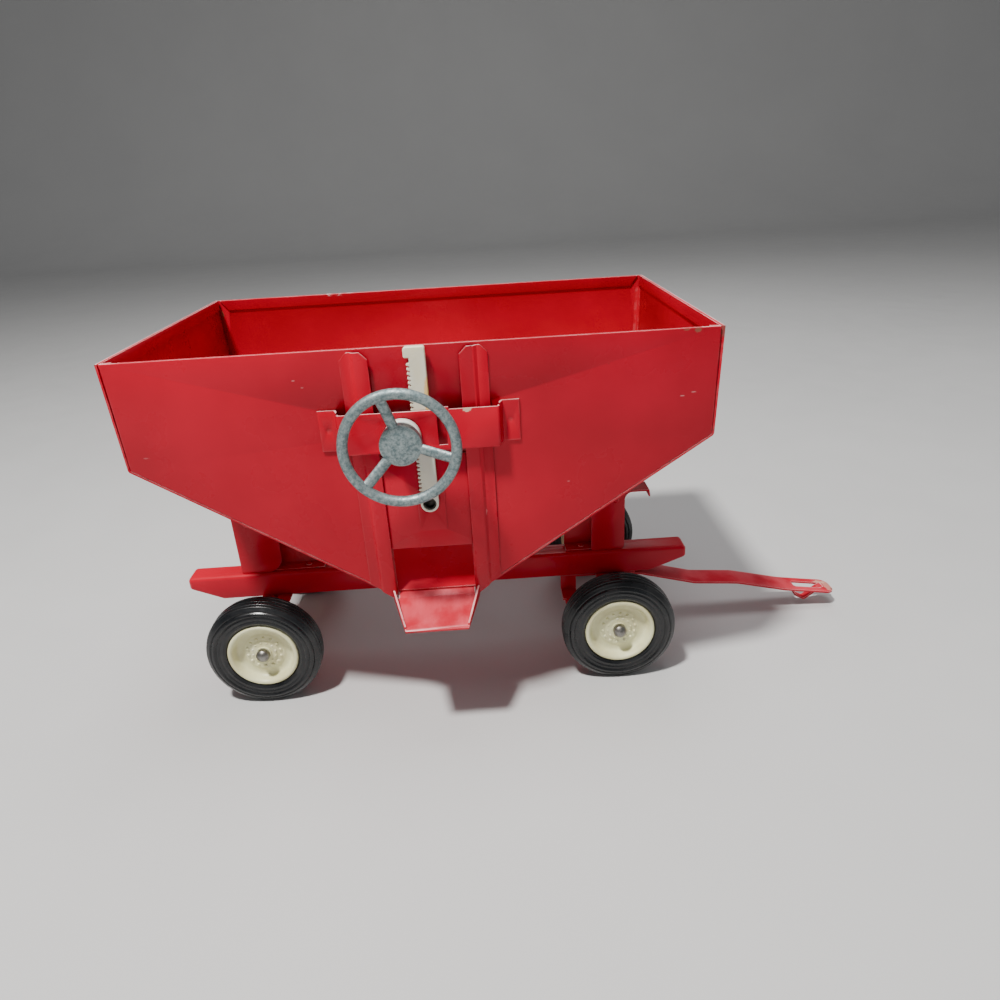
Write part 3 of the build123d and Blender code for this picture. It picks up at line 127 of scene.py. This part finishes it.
# ---------------------------------------------------------------- node helpers
class Graph:
    """Small wrapper that makes and links shader nodes."""

    def __init__(self, name):
        self.material = bpy.data.materials.new(name)
        self.material.use_nodes = True
        self.tree = self.material.node_tree
        self.shader = self.tree.nodes["Principled BSDF"]

    def put(self, socket, value):
        if isinstance(value, bpy.types.NodeSocket):
            self.tree.links.new(value, socket)
        elif isinstance(value, tuple) and len(value) == 3 and socket.type == "RGBA":
            socket.default_value = (*value, 1)
        else:
            socket.default_value = value

    def node(self, kind, settings=None, **inputs):
        made = self.tree.nodes.new("ShaderNode" + kind)
        for key, value in (settings or {}).items():
            setattr(made, key, value)
        for key, value in inputs.items():
            self.put(made.inputs[key.replace("_", " ")], value)
        return made

    def noise(self, size_mm, detail=4.0, rough=0.55, stretch=(1, 1, 1), distortion=0.0, shift=0.0):
        """Noise whose features are about size_mm across; stretch lengthens them per axis."""
        scale = tuple(1 / (size_mm * MM * s) for s in stretch)
        coords = self.node("TexCoord").outputs["Object"]
        moved = self.node("Mapping", Vector=coords, Scale=scale, Location=(shift, shift, shift))
        made = self.node("TexNoise", Vector=moved.outputs["Vector"], Scale=1.0, Detail=detail,
                         Roughness=rough, Distortion=distortion)
        return made.outputs["Fac"]

    def math(self, operation, a, b=0.0, clamp=False):
        made = self.tree.nodes.new("ShaderNodeMath")
        made.operation, made.use_clamp = operation, clamp
        self.put(made.inputs[0], a)
        self.put(made.inputs[1], b)
        return made.outputs[0]

    def ramp(self, value, low, high, to_low=0.0, to_high=1.0):
        """Smooth step of a value from low..high to to_low..to_high."""
        made = self.tree.nodes.new("ShaderNodeMapRange")
        made.interpolation_type = "SMOOTHSTEP"
        for key, item in zip(("Value", "From Min", "From Max", "To Min", "To Max"),
                             (value, low, high, to_low, to_high)):
            self.put(made.inputs[key], item)
        return made.outputs["Result"]

    def mix(self, factor, a, b, blend="MIX"):
        made = self.tree.nodes.new("ShaderNodeMix")
        made.data_type, made.blend_type, made.clamp_factor = "RGBA", blend, True
        self.put(made.inputs[0], factor)
        self.put(made.inputs[6], a)
        self.put(made.inputs[7], b)
        return made.outputs[2]

    def times(self, a, b):
        return self.math("MULTIPLY", a, b)

    def cover(self, colour, mask, strength, tint):
        """A tint laid over a colour where the mask is 1."""
        return self.mix(self.times(mask, strength), colour, tint)

    def blend(self, factor, a, b):
        """Mix of two numbers."""
        made = self.tree.nodes.new("ShaderNodeMix")
        made.data_type = "FLOAT"
        self.put(made.inputs[0], factor)
        self.put(made.inputs[2], a)
        self.put(made.inputs[3], b)
        return made.outputs[0]

    def edges(self, radius_mm):
        """1 along outer edges, 0 on flat stretches and in folds."""
        made = self.node("AmbientOcclusion", {"samples": 8, "inside": True, "only_local": True},
                         Distance=radius_mm * MM)
        return self.ramp(made.outputs["AO"], 0.92, 0.62)

    def facing_up(self):
        """1 on faces that look up, 0 on the others."""
        normal = self.node("NewGeometry").outputs["True Normal"]
        split = self.node("SeparateXYZ")
        self.put(split.inputs[0], normal)
        return self.ramp(split.outputs["Z"], 0.55, 0.9)

    def spot(self, centre_mm, radius_mm, stretch=(1, 1, 1), ragged=0.9):
        """1 inside a ragged patch round a point of the frame, 0 outside it."""
        scale = tuple(1 / (radius_mm * MM * k) for k in stretch)
        shift = tuple(-c * MM * k for c, k in zip(centre_mm, scale))
        coords = self.node("TexCoord").outputs["Object"]
        moved = self.node("Mapping", Vector=coords, Scale=scale, Location=shift)
        length = self.node("VectorMath", {"operation": "LENGTH"})
        self.put(length.inputs[0], moved.outputs["Vector"])
        wander = self.math("SUBTRACT", self.noise(radius_mm * 0.6, 5, 0.7), 0.5)
        distance = self.math("ADD", length.outputs["Value"], self.times(wander, ragged * 2))
        return self.ramp(distance, 1.0, 0.75)

    def shelter(self, distance_mm):
        """1 in corners and under other pieces, 0 in the open."""
        made = self.node("AmbientOcclusion", {"samples": 8}, Distance=distance_mm * MM)
        return self.ramp(made.outputs["AO"], 0.75, 0.25)

    def bump(self, height, depth_mm, normal=None):
        made = self.node("Bump", Height=height, Distance=depth_mm * MM, Strength=1.0)
        if normal is not None:
            self.put(made.inputs["Normal"], normal)
        return made.outputs["Normal"]

    def finish(self, **inputs):
        for key, value in inputs.items():
            self.put(self.shader.inputs[key.replace("_", " ")], value)
        return self.material


# ---------------------------------------------------------------- materials
FLOOR_DARK, FLOOR_LIGHT = (0.52, 0.52, 0.52), (0.58, 0.58, 0.575)


def floor_material():
    g = Graph("floor")
    return g.finish(Base_Color=g.mix(g.noise(300, 3), FLOOR_DARK, FLOOR_LIGHT),
                    Roughness=g.ramp(g.noise(40, 5), 0.3, 0.7, 0.55, 0.68))


ENAMEL = (0.52, 0.0018, 0.022)
ENAMEL_DEEP = (0.42, 0.0014, 0.016)
WORN = (0.78, 0.36, 0.36)
# pale pinkish red of painted light on up-facing enamel, where it is also partly rubbed thin
LIT_RUBBED_PINK = (0.80, 0.13, 0.16)
# pinkish white of the top edges: worn paint and a painted highlight
WORN_LIT_EDGE_PINK = (0.90, 0.66, 0.64)
BARE = (0.10, 0.07, 0.055)
# deep red-brown of painted shade in corners and under other pieces
PAINTED_SHADE_RED = (0.045, 0.010, 0.009)
RUST, RUST_DARK, RUST_DEEP = (0.26, 0.10, 0.06), (0.16, 0.05, 0.04), (0.12, 0.05, 0.03)
OLD_DIRT = (0.20, 0.09, 0.05)
CHALK = (0.80, 0.70, 0.68)
RUBBED_TAN = (0.55, 0.42, 0.30)
SCRAPED, SCRAPED_PALE = (0.66, 0.36, 0.28), (0.70, 0.46, 0.34)

# Marks of use as (centre in the frame in mm, radius in mm, stretch per axis, colour, strength).
BODY_MARKS = [
    ((71.5, -64.0, 178.0), 1.1, (1.3, 1, 0.9), RUST, 0.85),
    ((67.0, -64.0, 178.4), 0.6, (2.2, 1, 0.8), RUST, 0.7),
    ((81.6, -64.0, 177.5), 1.5, (0.8, 1, 2.2), RUST_DARK, 0.8),
    ((-96.5, 86.8, 178.4), 1.7, (1.5, 1, 0.7), CHALK, 0.9),
    ((-91.0, 86.8, 178.2), 1.8, (1.6, 1, 0.6), CHALK, 0.9),
    ((-85.0, 86.8, 178.5), 1.5, (1.8, 1, 0.6), CHALK, 0.8),
    ((-158.7, 85.2, 171.5), 2.0, (0.7, 0.7, 1.8), OLD_DIRT, 0.75),
    ((-159.2, 85.5, 158.0), 1.0, (0.6, 0.6, 6.0), RUST_DEEP, 0.6),
    ((-20.1, -69.5, 153.8), 1.5, (1.3, 1, 0.7), RUBBED_TAN, 0.9),
    ((66.5, -64.0, 152.0), 0.34, (3.0, 1, 0.8), WORN, 0.6),
    ((71.0, -64.0, 153.3), 0.28, (4.0, 1, 0.9), WORN, 0.6),
    ((-15.0, -66.0, 107.0), 1.2, (0.4, 1, 2.2), WORN, 0.6),
    ((-12.0, -66.0, 104.0), 0.9, (0.4, 1, 2.4), WORN, 0.5),
    ((-151.0, -64.0, 140.0), 0.6, (1.8, 1, 0.5), WORN, 0.3),
    ((-87.0, -64.0, 168.0), 0.5, (1.4, 1, 0.6), WORN, 0.45),
    ((-84.0, -64.0, 165.0), 0.4, (1.6, 1, 0.6), WORN, 0.4),
    ((-30.0, -64.0, 112.0), 0.45, (0.6, 1, 2.2), WORN, 0.5),
    ((20.0, -64.0, 118.0), 0.4, (1.6, 1, 0.8), WORN, 0.4),
]
TONGUE_MARKS = [
    ((178.0, 11.4, 9.5), 4.0, (0.8, 1.6, 1), SCRAPED, 0.6),
    ((174.5, 15.5, 9.8), 2.4, (1.6, 0.7, 1), SCRAPED_PALE, 0.6),
    ((179.0, 8.0, 9.2), 1.2, (1, 1, 1), BARE, 0.6),
]

HEM_EDGE_Z = 173.5          # height of the hems' lower edges in mm, which stay out of reach of wear
HEM_EDGE_BAND = (1.0, 1.8)  # wear fades in over these distances from it


def enamel_material(name, wear, dust, gloss, painted_top_light=0.0, marks=()):
    """Glossy red enamel on pressed steel: worn edges, chips, scuffs, single marks,
    painted light and shade.

    A painted highlight lies on the top edges besides their wear. Dust sets a dusty film on the
    gloss and the strength of the painted shade in corners and under other pieces. Another
    argument lays painted light on the faces that look up, where the enamel is partly rubbed
    thin. Waves and peel are its faint relief.
    """
    g = Graph(name)
    split = g.node("SeparateXYZ")
    g.put(split.inputs[0], g.node("TexCoord").outputs["Object"])
    off_hem = g.math("ABSOLUTE", g.math("SUBTRACT", split.outputs["Z"], HEM_EDGE_Z * MM))
    exposed = g.ramp(off_hem, HEM_EDGE_BAND[0] * MM, HEM_EDGE_BAND[1] * MM)
    colour = g.mix(g.ramp(g.noise(70, 4), 0.35, 0.68), ENAMEL_DEEP, ENAMEL)

    edge = g.times(g.edges(0.7), exposed)
    upward = g.facing_up()
    rubbed = g.ramp(g.noise(7, 6, 0.6), 0.58 - 0.25 * wear, 0.70 - 0.2 * wear)
    worn = g.times(edge, g.blend(upward, g.times(rubbed, 0.18), 1.0))
    colour = g.cover(colour, worn, 0.6, WORN)
    # Up-facing edges get a pinkish-white line in broken patches: partly worn paint, partly a painted
    # highlight of light from above.
    top_edge = g.times(edge, upward)
    crest_patches = g.ramp(g.noise(16, 6, 0.7, shift=4.4), 0.36, 0.56, 0.25, 1.0)
    colour = g.cover(colour, g.times(top_edge, crest_patches), 0.75, WORN_LIT_EDGE_PINK)
    chip_patches = g.ramp(g.noise(5, 8, 0.7, shift=3.1), 0.68 - 0.08 * wear, 0.70 - 0.08 * wear)
    colour = g.cover(colour, g.times(edge, chip_patches), 0.85, BARE)
    specks = g.ramp(g.noise(4, 3, 0.8, shift=7.7), 0.775, 0.80)
    colour = g.cover(colour, specks, 0.55, BARE)
    scuffs = g.ramp(g.noise(9, 5, 0.75, stretch=(6, 6, 0.3), shift=1.3), 0.66, 0.80)
    colour = g.cover(colour, scuffs, 0.10, WORN)

    # Painted light: faces that look up are tinted pale pinkish red in soft patches and streaks, standing
    # for light from above on enamel that is partly rubbed thin.
    if painted_top_light:
        patches = g.ramp(g.noise(13, 4, 0.5, shift=6.0), 0.36, 0.62, 0.15, 1.0)
        streaks = g.ramp(g.noise(4, 6, 0.65, stretch=(0.6, 5, 5), shift=6.0), 0.3, 0.75, 0.7, 1.0)
        lit_rub = g.times(upward, g.times(patches, streaks))
        colour = g.cover(colour, lit_rub, painted_top_light, LIT_RUBBED_PINK)
    # Painted shade: corners and places under other pieces darken towards a deep red-brown, broken up by
    # noise; dust sets how strongly.
    painted_corner_shade = g.times(g.shelter(8), g.ramp(g.noise(12, 5, 0.6), 0.25, 0.75, 0.35, 1.0))
    colour = g.cover(colour, painted_corner_shade, dust * 2, PAINTED_SHADE_RED)
    hurt = specks
    for centre, radius, stretch, tint, strength in marks:
        mark = g.times(g.spot(centre, radius, stretch), strength)
        colour = g.mix(mark, colour, tint)
        hurt = g.math("MAXIMUM", hurt, mark)

    film = g.ramp(g.noise(30, 6, 0.6, shift=5.0), 0.45, 0.75)
    rough = g.ramp(g.noise(45, 5, 0.6, shift=2.0), 0.3, 0.7, gloss - 0.05, gloss + 0.08)
    rough = g.math("ADD", rough, g.times(film, dust * 0.25))
    rough = g.math("ADD", rough, g.times(g.math("MAXIMUM", worn, hurt), 0.3), clamp=True)
    peel = g.bump(g.noise(1.6, 2, 0.4), 0.010)
    waves = g.bump(g.noise(46, 1.5, 0.4, shift=9.0), 0.9, peel)
    dents = g.bump(hurt, -0.05, waves)
    return g.finish(Base_Color=colour, Roughness=rough, Normal=dents, IOR=1.45,
                    Specular_IOR_Level=0.24)


ZINC_DARK, ZINC_LIGHT = (0.115, 0.165, 0.175), (0.31, 0.365, 0.365)
ZINC_RUBBED, ZINC_STAIN = (0.52, 0.57, 0.56), (0.10, 0.125, 0.13)


def zinc_material():
    """Mottled cast zinc, brighter on its rubbed edges."""
    g = Graph("zinc")
    mottle = g.noise(1.5, 7, 0.74)
    colour = g.mix(g.ramp(mottle, 0.36, 0.64), ZINC_DARK, ZINC_LIGHT)
    edge = g.edges(1.0)
    colour = g.mix(g.times(edge, g.ramp(g.noise(4, 5, shift=2), 0.35, 0.65)), colour, ZINC_RUBBED)
    stain = g.ramp(g.noise(5, 6, 0.7, shift=8), 0.60, 0.74)
    colour = g.cover(colour, stain, 0.5, ZINC_STAIN)
    rough = g.ramp(mottle, 0.3, 0.7, 0.60, 0.40)
    normal = g.bump(g.noise(0.8, 5, 0.65), 0.07, g.bump(g.noise(5, 3, 0.5, shift=4), 0.25))
    return g.finish(Base_Color=colour, Metallic=0.55, Roughness=rough, Normal=normal)


PLASTIC_SCUFFED = (0.88, 0.87, 0.80)
PLASTIC_CORNER_SHADE_LEVEL = 0.22  # brightness of the painted shade in corners, beside the plastic's darker tone


def plastic_material(name, light, dark, spot_mm, gloss, scatter=0.0, marks=()):
    """Moulded plastic, unevenly yellowed, with painted shade in its corners and scuffed edges."""
    g = Graph(name)
    colour = g.mix(g.ramp(g.noise(spot_mm, 5, 0.6), 0.35, 0.7), light, dark)
    for centre, radius, stretch, tint, strength in marks:
        colour = g.cover(colour, g.spot(centre, radius, stretch, 0.3), strength, tint)
    scuffed = g.times(g.edges(0.5), g.ramp(g.noise(5, 5, shift=1.7), 0.45, 0.65))
    colour = g.cover(colour, scuffed, 0.4, PLASTIC_SCUFFED)
    # Painted shade: corners and places under other pieces darken towards a dim copy of the darker tone.
    painted_corner_shade = g.times(g.shelter(2.5), g.ramp(g.noise(4, 5), 0.3, 0.7, 0.3, 1.0))
    colour = g.cover(colour, painted_corner_shade, 0.8, tuple(PLASTIC_CORNER_SHADE_LEVEL * c for c in dark))
    rough = g.ramp(g.noise(8, 4, shift=3), 0.3, 0.7, gloss - 0.05, gloss + 0.1)
    normal = g.bump(g.noise(1.2, 3), 0.012)
    return g.finish(Base_Color=colour, Roughness=rough, Normal=normal,
                    Subsurface_Weight=scatter, Subsurface_Radius=(0.002, 0.0016, 0.001))


RUBBER_BLACK, RUBBER_DUST = (0.0042, 0.0050, 0.0064), (0.034, 0.032, 0.030)
RUBBER_SOIL, RUBBER_RUBBED = (0.060, 0.050, 0.042), (0.070, 0.072, 0.075)


def tyre_material():
    """Black rubber with a bluish gloss, dusty in patches and grey along its rubbed ribs."""
    g = Graph("tyre")
    dust = g.ramp(g.noise(9, 6, 0.65), 0.45, 0.78)
    colour = g.cover(RUBBER_BLACK, dust, 0.35, RUBBER_DUST)
    colour = g.cover(colour, g.shelter(1.6), 0.45, RUBBER_SOIL)
    rubbed = g.times(g.edges(0.6), g.ramp(g.noise(3, 5, shift=2.2), 0.40, 0.70))
    colour = g.cover(colour, rubbed, 0.35, RUBBER_RUBBED)
    rough = g.ramp(g.noise(7, 5, shift=4), 0.3, 0.7, 0.20, 0.38)
    normal = g.bump(g.noise(0.7, 4, 0.6), 0.02)
    return g.finish(Base_Color=colour, Roughness=rough, Normal=normal, IOR=1.5)


STEEL_RUST = (0.16, 0.075, 0.04)


def steel_material(name, light, dark, rough_low, rough_high):
    """Bare steel with spots and a little rust, which is duller and less metallic."""
    g = Graph(name)
    spots = g.noise(2.5, 6, 0.65)
    colour = g.mix(g.ramp(spots, 0.35, 0.7), light, dark)
    rust = g.ramp(g.noise(3.5, 6, 0.7, shift=5), 0.60, 0.72)
    colour = g.cover(colour, rust, 0.5, STEEL_RUST)
    rough = g.math("ADD", g.ramp(spots, 0.3, 0.7, rough_low, rough_high), g.times(rust, 0.25))
    normal = g.bump(g.noise(0.8, 4), 0.02)
    metal = g.ramp(rust, 0, 1, 1.0, 0.3)
    return g.finish(Base_Color=colour, Metallic=metal, Roughness=rough, Normal=normal)


# amber yellowing of the plastic, and a grey that paints shade on the rack's lower part
RACK_AMBER, RACK_SHADE_GREY = (0.84, 0.50, 0.10), (0.60, 0.57, 0.50)


def rack_marks():
    """Places along the rack's forward edge: a yellowed patch higher up, and a grey patch of painted
    shade lower down.
    """
    rack_low, rack_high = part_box("gate_rack")
    edge, middle = rack_high.x / MM, rack_low.y / MM + 1.3
    return [
        ((edge, middle, 158.0), 2.2, (1.0, 2.0, 5.0), RACK_AMBER, 0.75),
        # painted shade: grey over the rack's lower part
        ((edge - 2.0, middle, 128.0), 5.0, (1.4, 2.0, 4.0), RACK_SHADE_GREY, 0.6),
    ]


def make_materials():
    """One material for each slot of the record."""
    return {
        "red_enamel": enamel_material("red_enamel", wear=0.6, dust=0.25, gloss=0.28,
                                      marks=BODY_MARKS),
        # The chute and the tongue carry painted light on their up-facing faces.
        "chute_enamel": enamel_material("chute_enamel", wear=0.9, dust=0.15, gloss=0.28,
                                        painted_top_light=0.55),
        "frame_enamel": enamel_material("frame_enamel", wear=0.55, dust=0.40, gloss=0.30),
        "tongue_enamel": enamel_material("tongue_enamel", wear=0.7, dust=0.30, gloss=0.32,
                                         painted_top_light=0.45, marks=TONGUE_MARKS),
        "zinc": zinc_material(),
        "rack_plastic": plastic_material(
            "rack_plastic", light=(0.84, 0.82, 0.70), dark=(0.78, 0.72, 0.52),
            spot_mm=14, gloss=0.38, scatter=0.1, marks=rack_marks()),
        "pinion_plastic": plastic_material(
            "pinion_plastic", light=(0.80, 0.80, 0.74), dark=(0.72, 0.70, 0.60),
            spot_mm=6, gloss=0.4, scatter=0.1),
        "rim_plastic": plastic_material(
            "rim_plastic", light=(0.78, 0.77, 0.47), dark=(0.64, 0.60, 0.34),
            spot_mm=16, gloss=0.34, scatter=0.05),
        "tyre_rubber": tyre_material(),
        "steel": steel_material(
            "steel", light=(0.42, 0.41, 0.40), dark=(0.20, 0.19, 0.18),
            rough_low=0.3, rough_high=0.5),
        "cap_steel": steel_material(
            "cap_steel", light=(0.30, 0.29, 0.27), dark=(0.12, 0.11, 0.10),
            rough_low=0.32, rough_high=0.5),
        "dark_steel": steel_material(
            "dark_steel", light=(0.09, 0.08, 0.07), dark=(0.03, 0.025, 0.02),
            rough_low=0.45, rough_high=0.65),
    }


# ---------------------------------------------------------------- the carried-over CAD nodes
EDGE_ROUND = 0.18           # radius in mm of every plain edge
EDGE_ANGLE = 30             # an edge sharper than this many degrees is rounded
SAME_VERTEX = 1e-6          # vertices closer than this many metres are merged


def soften(piece):
    """Merge the doubled vertices, round the edges slightly and shade smoothly."""
    for polygon in piece.data.polygons:
        polygon.use_smooth = True
    weld = piece.modifiers.new("weld", "WELD")
    weld.merge_threshold = SAME_VERTEX
    bevel = piece.modifiers.new("bevel", "BEVEL")
    bevel.width, bevel.segments = EDGE_ROUND * MM, 2
    bevel.limit_method, bevel.angle_limit = "ANGLE", math.radians(EDGE_ANGLE)
    bevel.harden_normals = True
    bevel.miter_outer = "MITER_ARC"


def finish_cad_nodes(materials):
    slots = {s["node"]: s["material_slot"] for s in frame["record"]["subparts"]}
    for name, piece in frame["nodes"].items():
        piece.data.materials.clear()
        piece.data.materials.append(materials[slots[name]])
        soften(piece)


# ---------------------------------------------------------------- pieces made here
TYRE_STEPS, RIM_STEPS = 144, 112
TYRE_RADIUS, TYRE_WIDTH = 28.0, 14.0
BEAD_RADIUS, SHOULDER_RADIUS = 17.2, 26.6
SIDE_STATIONS = [(BEAD_RADIUS, 12.4), (17.9, 13.2), (19.0, 13.6), (21.5, 13.75), (24.0, 13.7),
                 (25.2, 13.3), (26.0, 12.75), (SHOULDER_RADIUS, 12.3)]
SIDE_RINGS = ((19.0, 0.20), (20.4, -0.30), (22.4, -0.45), (23.4, 0.20), (24.9, -0.55))
RING_HALF = 0.36
SIDE_STEPS = 44
TREAD_INSET, CROWN_INSET = 1.95, 1.7
CROWN_DROP, SHOULDER_DROP = 0.25, 1.15
RIB_GROOVES = (3.1, 5.7, 8.3, 10.9)
GROOVE_DEPTH, GROOVE_HALF = 1.25, 0.42
TREAD_STEPS = 96


def tyre_side_u(radius):
    """Place of the outer sidewall along the axle, with its raised and sunk rings."""
    for (r0, u0), (r1, u1) in zip(SIDE_STATIONS, SIDE_STATIONS[1:]):
        if radius <= r1:
            u = u0 + (u1 - u0) * (radius - r0) / (r1 - r0)
            break
    return u + sum(h * math.exp(-((radius - r) / RING_HALF) ** 2) for r, h in SIDE_RINGS)


def tyre_tread_radius(u):
    """Radius of the ribbed tread at a place along the axle."""
    off = abs(u - TYRE_WIDTH / 2) / (TYRE_WIDTH / 2 - CROWN_INSET)
    crown = TYRE_RADIUS - CROWN_DROP * off ** 2 - SHOULDER_DROP * off ** 10
    return crown - sum(GROOVE_DEPTH * math.exp(-((u - g) / GROOVE_HALF) ** 2) for g in RIB_GROOVES)


def tyre_loop():
    """Closed section of a tyre as (radius, u), where u runs outwards along the axle."""
    outer = []
    for i in range(SIDE_STEPS + 1):
        radius = BEAD_RADIUS + (SHOULDER_RADIUS - BEAD_RADIUS) * i / SIDE_STEPS
        outer.append((radius, tyre_side_u(radius)))
    low, high = TREAD_INSET, TYRE_WIDTH - TREAD_INSET
    tread = []
    for i in range(TREAD_STEPS + 1):
        u = high + (low - high) * i / TREAD_STEPS
        tread.append((tyre_tread_radius(u), u))
    inner = [(r, TYRE_WIDTH - u) for r, u in reversed(outer)]
    return outer + tread + inner


RIM_BORE, HUB_TUBE, WELL_BACK = 1.68, 3.2, 7.8
RIM_SEAT = 11.3             # where the axle's cap bears on the hub


def rim_loop(inner_end):
    """Closed section of a rim as (radius, u): hub tube, well, rolled lip, recessed disc, hub."""
    return [
        (RIM_BORE, inner_end), (HUB_TUBE, inner_end), (HUB_TUBE, WELL_BACK), (14.6, WELL_BACK),
        (15.7, 1.5), (17.1, 1.4), (BEAD_RADIUS, 2.2), (BEAD_RADIUS, 12.0),
        (17.05, 12.9), (16.7, 13.4), (16.2, 13.6), (15.6, 13.5), (15.1, 13.15), (14.75, 12.5),
        (14.4, 11.6), (13.9, 10.3), (13.5, 9.6), (12.9, 9.25), (12.2, 9.15), (10.6, 9.2),
        (10.1, 9.35), (9.8, 9.55), (9.3, 9.65), (6.9, 9.7), (6.4, 9.85), (6.0, 10.2),
        (5.3, 10.35), (4.3, 10.45), (3.75, 10.5), (3.6, RIM_SEAT), (RIM_BORE, RIM_SEAT),
    ]


def spin(loop, centre, inner_y, side, steps):
    """Closed section of (radius, u) turned about a line through centre along Y."""
    bm = bmesh.new()
    rings = []
    for i in range(steps):
        a = 2 * math.pi * i / steps
        rings.append([bm.verts.new((centre.x + r * MM * math.cos(a), inner_y + side * u * MM,
                                    centre.z + r * MM * math.sin(a))) for r, u in loop])
    for i, ring in enumerate(rings):
        following = rings[(i + 1) % steps]
        for j in range(len(loop)):
            k = (j + 1) % len(loop)
            bm.faces.new((ring[j], ring[k], following[k], following[j]))
    return bm


DOME_SINK = 0.3             # depth of a lug's root below the disc


def add_dome(bm, centre, side, radius, height, steps=14, rows=4):
    """Small round-headed lug that points along the axle, with its root sunk into the disc."""
    rings = []
    for row in range(-1, rows):
        a = math.pi / 2 * max(row, 0) / rows
        r = radius * MM * math.cos(a)
        y = centre[1] + side * (height * MM * math.sin(a) if row >= 0 else -DOME_SINK * MM)
        rings.append([bm.verts.new((centre[0] + r * math.cos(2 * math.pi * i / steps), y,
                                    centre[2] + r * math.sin(2 * math.pi * i / steps)))
                      for i in range(steps)])
    for lower, upper in zip(rings, rings[1:]):
        for i in range(steps):
            j = (i + 1) % steps
            bm.faces.new((lower[i], lower[j], upper[j], upper[i]))
    top = bm.verts.new((centre[0], centre[1] + side * height * MM, centre[2]))
    for i in range(steps):
        bm.faces.new((rings[-1][i], rings[-1][(i + 1) % steps], top))
    bm.faces.new(rings[0][::-1])


def finish_piece(name, bm, body, slot, materials, sharp_angle):
    bmesh.ops.recalc_face_normals(bm, faces=bm.faces)
    mesh = bpy.data.meshes.new(name)
    bm.to_mesh(mesh)
    bm.free()
    mesh.materials.append(materials[slot])
    for polygon in mesh.polygons:
        polygon.use_smooth = True
    mesh.set_sharp_from_angle(angle=math.radians(sharp_angle))
    piece = bpy.data.objects.new(name, mesh)
    bpy.context.scene.collection.objects.link(piece)
    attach(piece, body)
    return piece


# Rings of lugs on the rim's disc as (count, ring radius, lug radius, lug height, place along u).
LUG_RINGS = ((14, 8.1, 0.85, 0.75, 9.6), (12, 5.65, 0.55, 0.45, 10.2))
LUG_PHASE = 0.3


def add_lugs(bm, centre, inner_y, side):
    for count, ring, radius, height, seat in LUG_RINGS:
        for i in range(count):
            a = 2 * math.pi * (i + LUG_PHASE) / count
            place = (centre.x + ring * MM * math.cos(a), inner_y + side * seat * MM,
                     centre.z + ring * MM * math.sin(a))
            add_dome(bm, place, side, radius, height)


def make_wheel(end, where, side, materials):
    """Ribbed tyre and lugged rim of one wheel; side is the way its face looks along Y."""
    low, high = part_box(f"{end}_{where}_tyre")
    centre = (low + high) / 2
    inner_y = high.y if side < 0 else low.y
    body = f"{end}_{where}_wheel"
    bm = spin(tyre_loop(), centre, inner_y, side, TYRE_STEPS)
    tyre = finish_piece(f"{end}_{where}_ribbed_tyre", bm, body, "tyre_rubber", materials, 60)
    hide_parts(f"{end}_{where}_tyre")

    rim_low, rim_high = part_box(f"{end}_{where}_rim")
    tube_reach = rim_high.y - inner_y if side < 0 else inner_y - rim_low.y
    bm = spin(rim_loop(-tube_reach / MM), centre, inner_y, side, RIM_STEPS)
    add_lugs(bm, centre, inner_y, side)
    rim = finish_piece(f"{end}_{where}_lugged_rim", bm, body, "rim_plastic", materials, 50)
    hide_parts(f"{end}_{where}_rim")


def make_wheels(materials):
    """Detailed tyres and rims in place of the eight plain ones."""
    for end in ("front", "rear"):
        for where, side in (("near", -1), ("far", 1)):
            make_wheel(end, where, side, materials)


SHEET = 0.8
END_FLARE, FLARE_START_Z = 1.6, 134.5     # the end sheets lean outwards above this height
FOLD_RADIUS, FOLD_STEPS = 2.6, 8
FOLD_BOTTOM, FOLD_TOP = 136.5, 173.0


def make_corner_fold(materials):
    """Rounded vertical fold in the far front corner of the hopper."""
    _, wall_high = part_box("far_wall_and_floor")
    _, end_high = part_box("front_end_sheet")
    sheet, radius = SHEET * MM, FOLD_RADIUS * MM
    flare, bottom, top = END_FLARE * MM, FOLD_BOTTOM * MM, FOLD_TOP * MM
    bm = bmesh.new()
    rows = []
    for z in (bottom, (bottom + top) / 2, top):
        lean = flare * (end_high.z - z) / (end_high.z - FLARE_START_Z * MM)
        x = end_high.x - sheet - lean
        y = wall_high.y - sheet
        arc = [(x - radius * (1 - math.sin(math.pi / 2 * i / FOLD_STEPS)),
                y - radius * (1 - math.cos(math.pi / 2 * i / FOLD_STEPS)))
               for i in range(FOLD_STEPS + 1)]
        corner = (x + sheet / 4, y + sheet / 4)
        rows.append([bm.verts.new((px, py, z)) for px, py in arc + [corner]])
    for lower, upper in zip(rows, rows[1:]):
        for i in range(len(lower)):
            j = (i + 1) % len(lower)
            bm.faces.new((lower[i], lower[j], upper[j], upper[i]))
    bm.faces.new(rows[0][::-1])
    bm.faces.new(rows[-1])
    finish_piece("far_front_corner_fold", bm, "wagon", "red_enamel", materials, 40)


add_camera()
add_studio()
add_floor()
MATERIALS = make_materials()
finish_cad_nodes(MATERIALS)
make_wheels(MATERIALS)
make_corner_fold(MATERIALS)
